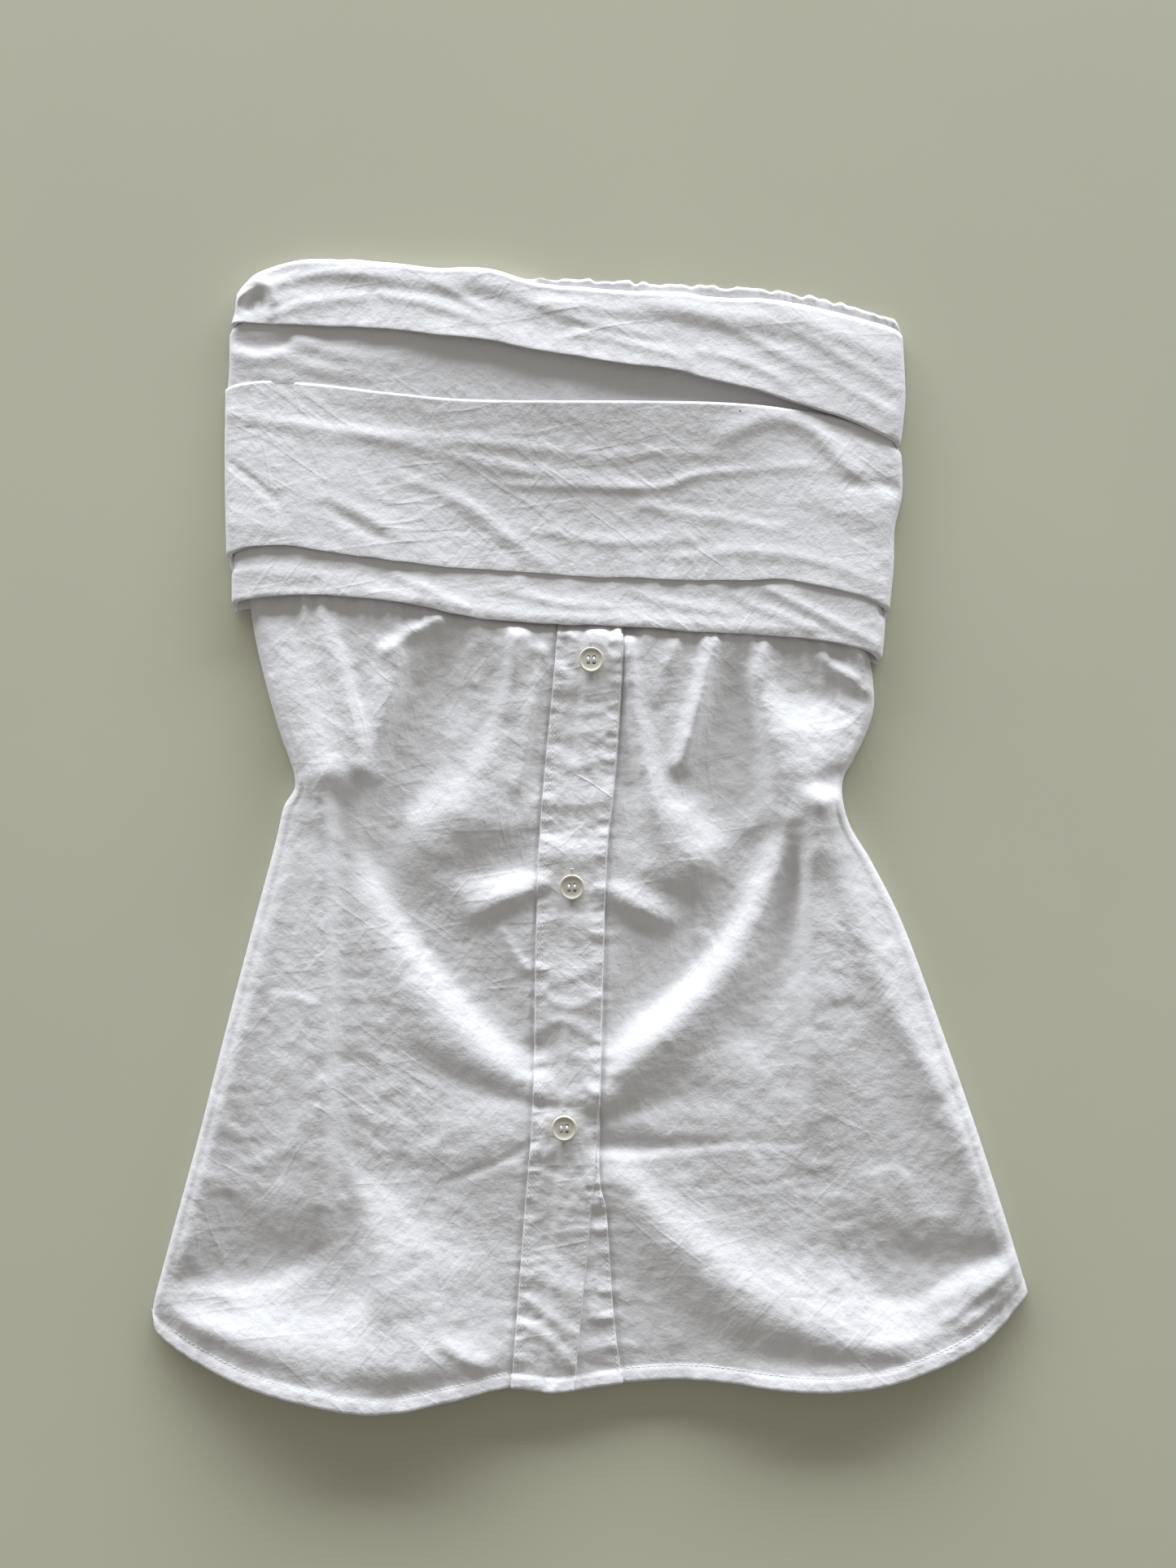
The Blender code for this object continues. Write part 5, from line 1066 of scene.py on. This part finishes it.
def button_object(name, place, seat, lean, material):
    """Button on its seat, drilled and turned by two angles. Returns its rotation."""
    item = new_object(name, built_mesh(name, turned_button), material)
    drill = built_mesh(name + "_drill", four_drills)
    cutter = bpy.data.objects.new(name + "_drill", drill)
    bpy.context.scene.collection.objects.link(cutter)
    cut = item.modifiers.new("holes", "BOOLEAN")
    cut.operation = "DIFFERENCE"
    cut.solver = "EXACT"
    cut.object = cutter
    drilled = bpy.data.meshes.new_from_object(item.evaluated_get(bpy.context.evaluated_depsgraph_get()))
    item.modifiers.clear()
    item.data = drilled
    bpy.data.objects.remove(cutter)
    drilled.name = name
    drilled.shade_smooth()
    drilled.set_sharp_from_angle(angle=math.radians(42))
    turn_x, turn_y = (Matrix.Rotation(math.radians(angle), 4, axis) for angle, axis in zip(lean, "XY"))
    drilled.transform(Matrix.Translation((place.x * MM, place.y * MM, seat * MM)) @ turn_y @ turn_x)
    return np.array(turn_y @ turn_x)[:3, :3]


def button_thread(place, seat, spin, rng):
    """Two upright bars of thread through the four holes."""
    paths = []
    half = HOLE_SPACING / 2
    face = BUTTON_THICK - 0.56
    for side in (-half, half):
        for strand in (-0.28, 0.0, 0.28):
            shift = strand + rng.uniform(-0.06, 0.06)
            ys = np.array([half + 0.05, half - 0.1, half - 0.5, 0, -half + 0.5, -half + 0.1, -half - 0.05])
            zs = face + np.array([-1.2, -0.2, 0.25, 0.38 + rng.uniform(-0.05, 0.1), 0.25, -0.2, -1.2])
            xs = side + shift * np.array([0.6, 0.8, 1, 1.1, 1, 0.8, 0.6])
            local = np.column_stack([xs, ys, zs])
            paths.append(local @ spin.T + (place.x, place.y, seat))
    return paths


def buttonhole_paths(place, height_at, rng):
    """Close zigzag of thread round an upright buttonhole."""
    paths = []
    half = BUTTONHOLE / 2
    for side in (-1, 1):
        for y in np.arange(-half, half, 0.5):
            x0, x1 = place.x + side * 0.25, place.x + side * (1.25 + rng.uniform(-0.08, 0.12))
            at = ((x0, place.y + y + rng.uniform(-0.08, 0.08)), ((x0 + x1) / 2, place.y + y + 0.05),
                  (x1, place.y + y + 0.12))
            paths.append(path_on(at, height_at, (0.02, 0.16, -0.02)))
    for end in (-1, 1):
        for row in range(3):
            y = place.y + end * (half + 0.15 + 0.3 * row)
            at = ((place.x - 1.2, y), (place.x, y + 0.05), (place.x + 1.2, y))
            paths.append(path_on(at, height_at, (0.02, 0.2, 0.02)))
    return paths


class Nodes:
    """Nodes of a new material. A value sets an input, and a socket is linked to it."""

    def __init__(self, name):
        self.material = bpy.data.materials.new(name)
        self.material.use_nodes = True
        self.tree = self.material.node_tree
        self.place = self.add("TexCoord").outputs["Object"]

    def feed(self, node, inputs):
        for key, value in inputs.items():
            if isinstance(value, bpy.types.NodeSocket):
                self.tree.links.new(value, node.inputs[key])
            else:
                node.inputs[key].default_value = value

    def add(self, kind, inputs=None, **settings):
        node = self.tree.nodes.new("ShaderNode" + kind)
        for key, value in settings.items():
            setattr(node, key, value)
        self.feed(node, inputs or {})
        return node

    def math(self, kind, first, second=0.0):
        return self.add("Math", {0: first, 1: second}, operation=kind).outputs["Value"]

    def shade(self, inputs):
        self.feed(self.tree.nodes["Principled BSDF"], inputs)


def cotton_material(name, seed, specks=()):
    """White washed cotton: slubs, faint mottling and fine creases."""
    nodes = Nodes(name)

    def noise_node(scale, detail, rough=0.55, stretch=None, turn=0.0):
        place = nodes.place
        if stretch:
            turned = {"Vector": place, "Rotation": (0, 0, math.radians(turn)), "Scale": stretch}
            place = nodes.add("Mapping", turned, vector_type="TEXTURE").outputs["Vector"]
        inputs = {"Vector": place, "W": seed * 3.7 + turn * 0.31, "Scale": scale, "Detail": detail,
                  "Roughness": rough}
        return nodes.add("TexNoise", inputs, noise_dimensions="4D").outputs["Fac"]

    mottle = nodes.math("MULTIPLY", noise_node(26.0, 3.0), 0.055)
    fine = nodes.math("MULTIPLY", noise_node(420.0, 3.0, 0.6), 0.06)
    level = nodes.math("ADD", nodes.math("ADD", mottle, fine), COTTON_WHITE - 0.0575)
    for x, y, size in specks:
        flat = nodes.add("Mapping", {"Vector": nodes.place, "Scale": (1, 1, 0)}).outputs["Vector"]
        spot = nodes.add("VectorMath", {0: flat, 1: (x * MM, y * MM, 0)}, operation="DISTANCE")
        near = nodes.add("MapRange", {"Value": spot.outputs["Value"], "From Min": size * 0.4 * MM,
                                      "From Max": size * MM, "To Min": 0.35, "To Max": 1.0})
        level = nodes.math("MULTIPLY", level, near.outputs["Result"])
    colour = nodes.add("CombineColor", {channel: nodes.math("MULTIPLY", level, share)
                                        for channel, share in COTTON_TINT.items()})

    # creases too fine for the mesh: a soft crumple and thin sharp lines in patches, in metres of height
    height = nodes.math("MULTIPLY", noise_node(230.0, 4.0, 0.6), 0.0005)
    lines = None
    for turn in (12, 55, 98, 140):
        patch = nodes.math("SUBTRACT", noise_node(16.0 + turn * 0.05, 1.0), 0.42)
        off = nodes.math("SUBTRACT", noise_node(95.0, 2.0, 0.5, (1.0, 6.5, 1.0), turn), 0.5)
        ridge = nodes.math("MINIMUM", nodes.math("ABSOLUTE", off), 0.07)
        streak = nodes.math("MULTIPLY", ridge, nodes.math("MAXIMUM", patch))
        streak = nodes.math("MULTIPLY", streak, -0.006)
        lines = nodes.math("ADD", lines, streak) if lines else streak
    slub = nodes.math("MULTIPLY", noise_node(90.0, 2.0, 0.6, (1.0, 8.0, 1.0)), 0.0001)
    height = nodes.math("ADD", nodes.math("ADD", height, lines), slub)
    bump = nodes.add("Bump", {"Strength": 1.0, "Distance": 1.0, "Height": height})
    nodes.shade({"Base Color": colour.outputs["Color"], "Normal": bump.outputs["Normal"], "Roughness": 0.86,
                 "Specular IOR Level": 0.25, "Sheen Weight": 0.12, "Sheen Roughness": 0.5})
    return nodes.material


def plain_material(name, colour, roughness, specular, mottling, scale, coat=0.0):
    """One colour with faint mottling."""
    nodes = Nodes(name)
    spots = nodes.add("TexNoise", {"Vector": nodes.place, "Scale": scale, "Detail": 4.0})
    ramp = nodes.add("ValToRGB", {"Fac": spots.outputs["Fac"]})
    for element, place_at, share in zip(ramp.color_ramp.elements, (0.3, 0.7), (1 - mottling, 1 + mottling)):
        element.position = place_at
        element.color = [min(c * share, 1.0) for c in colour] + [1.0]
    nodes.shade({"Base Color": ramp.outputs["Color"], "Roughness": roughness, "Specular IOR Level": specular,
                 "Coat Weight": coat})
    return nodes.material


def fronts(relief):
    """The two front panels, the plackets and their seams."""
    rng = np.random.default_rng(7)
    length = y_at(LOWER_LOW, 0) - HEM[4].y
    shares = np.linspace(0, 1, int(length / CELL))
    strip_shares = np.linspace(0, 1, int(length / STRIP_CELL))
    left_side, right_side = along(LEFT_SIDE, shares), along(RIGHT_SIDE, shares)

    def lines(at):
        placket_left, placket_right = line_rows(PLACKET_LEFT, at), line_rows(PLACKET_RIGHT, at)
        under_edge = placket_right.copy()
        under_edge[:, 0] += x_at(UNDER_SHOWS, placket_right[:, 1])
        start_y = band_line(under_edge[0, 0])
        under_edge[:, 1] = start_y + (y_at(HEM, under_edge[-1, 0]) - start_y) * at
        return placket_left, placket_right, under_edge

    placket_left, placket_right, under_edge = lines(shares)
    extra = [placket_left + (TUCK * share, 0) for share in np.linspace(0, 1, 8)[1:]]
    front_panel("front_left_cloth", left_side, placket_left, extra, (0.0, foot_at(placket_left[-1, 0])),
                shares, relief, cotton_material("left_front_cotton", 1))
    reach = under_edge[0, 0] - placket_left[0, 0] - TUCK
    extra = [under_edge - (reach * share, 0) for share in np.linspace(0, 1, 14)[1:]]
    front_panel("front_right_cloth", right_side, under_edge, extra, (1.0, foot_at(under_edge[-1, 0])),
                shares, relief, cotton_material("right_front_cotton", 2))

    placket_left, placket_right, under_edge = lines(strip_shares)

    def over_under(from_left):
        return ease(UNDER_START - 6, UNDER_START - 1, from_left)

    under_left = UNDER_START - 3
    strip_object("under_placket_cloth", placket_left + (under_left, 0), under_edge, strip_shares,
                 np.zeros_like, UNDER_CREASES, 61, relief, cotton_material("under_placket_cotton", 3))
    strip_object("placket_cloth", placket_left, placket_right, strip_shares, over_under, PLACKET_CREASES, 71,
                 relief, cotton_material("placket_cotton", 4))

    def on_strip(x, y):
        left, right, _ = strip_edges(y)
        detail = strip_detail(x, y, left, right, PLACKET_CREASES, 71)
        return strip_height(x, y, relief, over_under(x - left)) + detail

    def on_under(x, y):
        left, _, under = strip_edges(y)
        detail = strip_detail(x, y, left + under_left, under, UNDER_CREASES, 61)
        return strip_height(x, y, relief, 0) + detail

    thread = plain_material("white_thread", THREAD_WHITE, roughness=0.7, specular=0.3, mottling=0.05,
                            scale=300.0)
    shown = placket_left[:, 1] < y_at(LOWER_LOW, placket_left[:, 0]) - 1
    paths = []
    for offset in (EDGE_STITCH, SECOND_STITCH):
        paths += seam_paths(placket_left[shown] + (offset, 0), on_strip, rng)
    paths += seam_paths(placket_right[shown] - (EDGE_STITCH, 0), on_strip, rng)
    thread_object("placket_stitches", paths, THREAD, thread)
    low = under_edge[:, 1] < UNDER_SEAM_TOP
    paths = seam_paths(under_edge[low] - (EDGE_STITCH, 0), on_under, rng)
    thread_object("under_placket_stitches", paths, THREAD, thread)

    hem_line = along(HEM, np.linspace(0, 1, 500))
    step = np.gradient(hem_line, axis=0)
    inward = np.column_stack([-step[:, 1], step[:, 0]])
    inward /= np.linalg.norm(inward, axis=1, keepdims=True)
    seam = hem_line + inward * HEM_DEPTH
    left_x, under_x = placket_left[-1, 0], under_edge[-1, 0]
    at_x = seam[:, 0]
    for name, keep in (("hem_stitches_left", (at_x > -HEM_SEAM_END) & (at_x < left_x - 1)),
                       ("hem_stitches_right", (at_x < HEM_SEAM_END) & (at_x > under_x + 1))):
        paths = seam_paths(seam[keep], lambda x, y: relief.at(x, y) + 0.02, rng)
        thread_object(name, paths, THREAD, thread)
    return on_strip, thread, rng


def buttons(on_strip, thread, rng):
    """The buttons with their threads and buttonholes."""
    cream = plain_material("cream_button", CREAM, roughness=0.32, specular=0.5, mottling=0.06, scale=120.0,
                           coat=0.15)
    for number, (place, lean) in enumerate(zip(BUTTON_PLACES, BUTTON_LEANS), start=1):
        ring = np.linspace(0, 2 * math.pi, 24, endpoint=False)
        under = on_strip(place.x + 5 * np.cos(ring), place.y + 5 * np.sin(ring))
        seat = float(np.max(under)) + 0.15
        spin = button_object(f"button_{number}_looks", place, seat, lean, cream)
        paths = button_thread(place, seat, spin, rng)
        thread_object(f"button_{number}_thread", paths, BUTTON_THREAD, thread)
        paths = buttonhole_paths(place, on_strip, rng)
        thread_object(f"buttonhole_{number}", paths, BUTTONHOLE_THREAD, thread)


def band():
    for seed, layer in enumerate(BAND_LAYERS):
        specks = BAND_SPECKS.get(layer.name, ())
        band_cloth(layer, 90 + 13 * seed, cotton_material(layer.node + "_cotton", 5 + seed, specks))


def backs():
    x = np.linspace(*BAND_BACK_SPAN, 2 * BACK_COLUMNS)
    crinkle = 0.8 * noise(x, 0 * x, 3.6, 9, 41) * ease(-40, -20, x)
    upper = np.column_stack([x, y_at(BACK_EDGE, x) + crinkle])
    left_side, right_side = BACK_SIDES
    low_x = np.linspace(left_side[0].x, right_side[0].x, len(x))
    lower = np.column_stack([low_x, y_at(LOWER_LOW, low_x) - BACK_BELOW])

    def band_back_height(px, py):
        shown = ease(-1.5, 2.0, py - y_at(TOP_EDGE, px))
        ruffle = waves(px, py, ELASTIC_RUFFLE, base=1.3)
        gathers = 0.22 + 0.22 * noise(px, py, 4.0, 30, 42)
        return 0.5 + gathers + shown * np.maximum(ruffle, 0)

    flat_sheet("band_back_cloth", upper, lower, left_side, right_side, BAND_BACK_CELL, band_back_height,
               cotton_material("band_back_cotton", 11))

    seam_x = np.linspace(*BACK_SEAM_SPAN, BACK_COLUMNS)
    upper = np.column_stack([seam_x, y_at(LOWER_LOW, seam_x) - BACK_BELOW - GAP])
    foot = along(HEM, np.linspace(0, 1, BACK_COLUMNS)) + (0, BACK_HEM_INSET)
    side_left = [Point(p.x + 0.4, p.y) for p in LEFT_SIDE]
    side_right = [Point(p.x - 0.4, p.y) for p in RIGHT_SIDE]

    def back_height(px, py):
        return folded(0.38 + 0.1 * np.abs(noise(px, py, 26, 20, 45)), px, py, BACK_CREASES)

    flat_sheet("back_cloth", upper, foot, side_left, side_right, BACK_CELL, back_height,
               cotton_material("back_cotton", 12))


def declare():
    for node in ("front_left", "front_right", "under_placket", "placket", "band_back", "back"):
        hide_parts(node)
    for layer in BAND_LAYERS:
        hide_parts(layer.node)
    for number in (1, 2, 3):
        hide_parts(f"button_{number}")
    for item in list(bpy.context.scene.objects):
        if item.type != "MESH" or item.get("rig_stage") or item.name in frame["nodes"]:
            continue
        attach(item, "root")


def placed(name, data, location, turn=0.0, **values):
    """Object at a place, tilted about X, with values of its data set."""
    for key, value in values.items():
        setattr(data, key, value)
    item = bpy.data.objects.new(name, data)
    item.location = location
    item.rotation_euler = (math.radians(turn), 0, 0)
    bpy.context.scene.collection.objects.link(item)
    return item


def setting():
    """Floor, light and camera."""
    corners = [(x * FLOOR_HALF, y * FLOOR_HALF, 0) for x, y in ((-1, -1), (1, -1), (1, 1), (-1, 1))]
    mesh = bpy.data.meshes.new("floor")
    mesh.from_pydata(corners, [], [(0, 1, 2, 3)])
    floor = new_object("floor", mesh, plain_material("floor_grey", FLOOR_COLOUR, roughness=0.8, specular=0.15,
                                                     mottling=0.02, scale=5.0))
    floor.location.z = -FLOOR_DROP
    floor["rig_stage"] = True
    placed("key", bpy.data.lights.new("key", "AREA"), LIGHT_PLACE, LIGHT_TILT, shape="RECTANGLE",
           size=LIGHT_SIZE[0], size_y=LIGHT_SIZE[1], energy=LIGHT_POWER, color=LIGHT_COLOUR)
    scene = bpy.context.scene
    scene.camera = placed("camera", bpy.data.cameras.new("camera"), CAMERA_PLACE, lens=CAMERA_LENS,
                          sensor_fit="VERTICAL", sensor_height=SENSOR_HEIGHT)
    world = bpy.data.worlds.new("soft_room")
    world.use_nodes = True
    sky = world.node_tree.nodes["Background"]
    sky.inputs["Color"].default_value = ROOM_COLOUR
    sky.inputs["Strength"].default_value = ROOM_STRENGTH
    scene.world = world
    scene.view_settings.view_transform = "Standard"


relief = Relief()
on_strip, thread, rng = fronts(relief)
buttons(on_strip, thread, rng)
band()
backs()
setting()
declare()
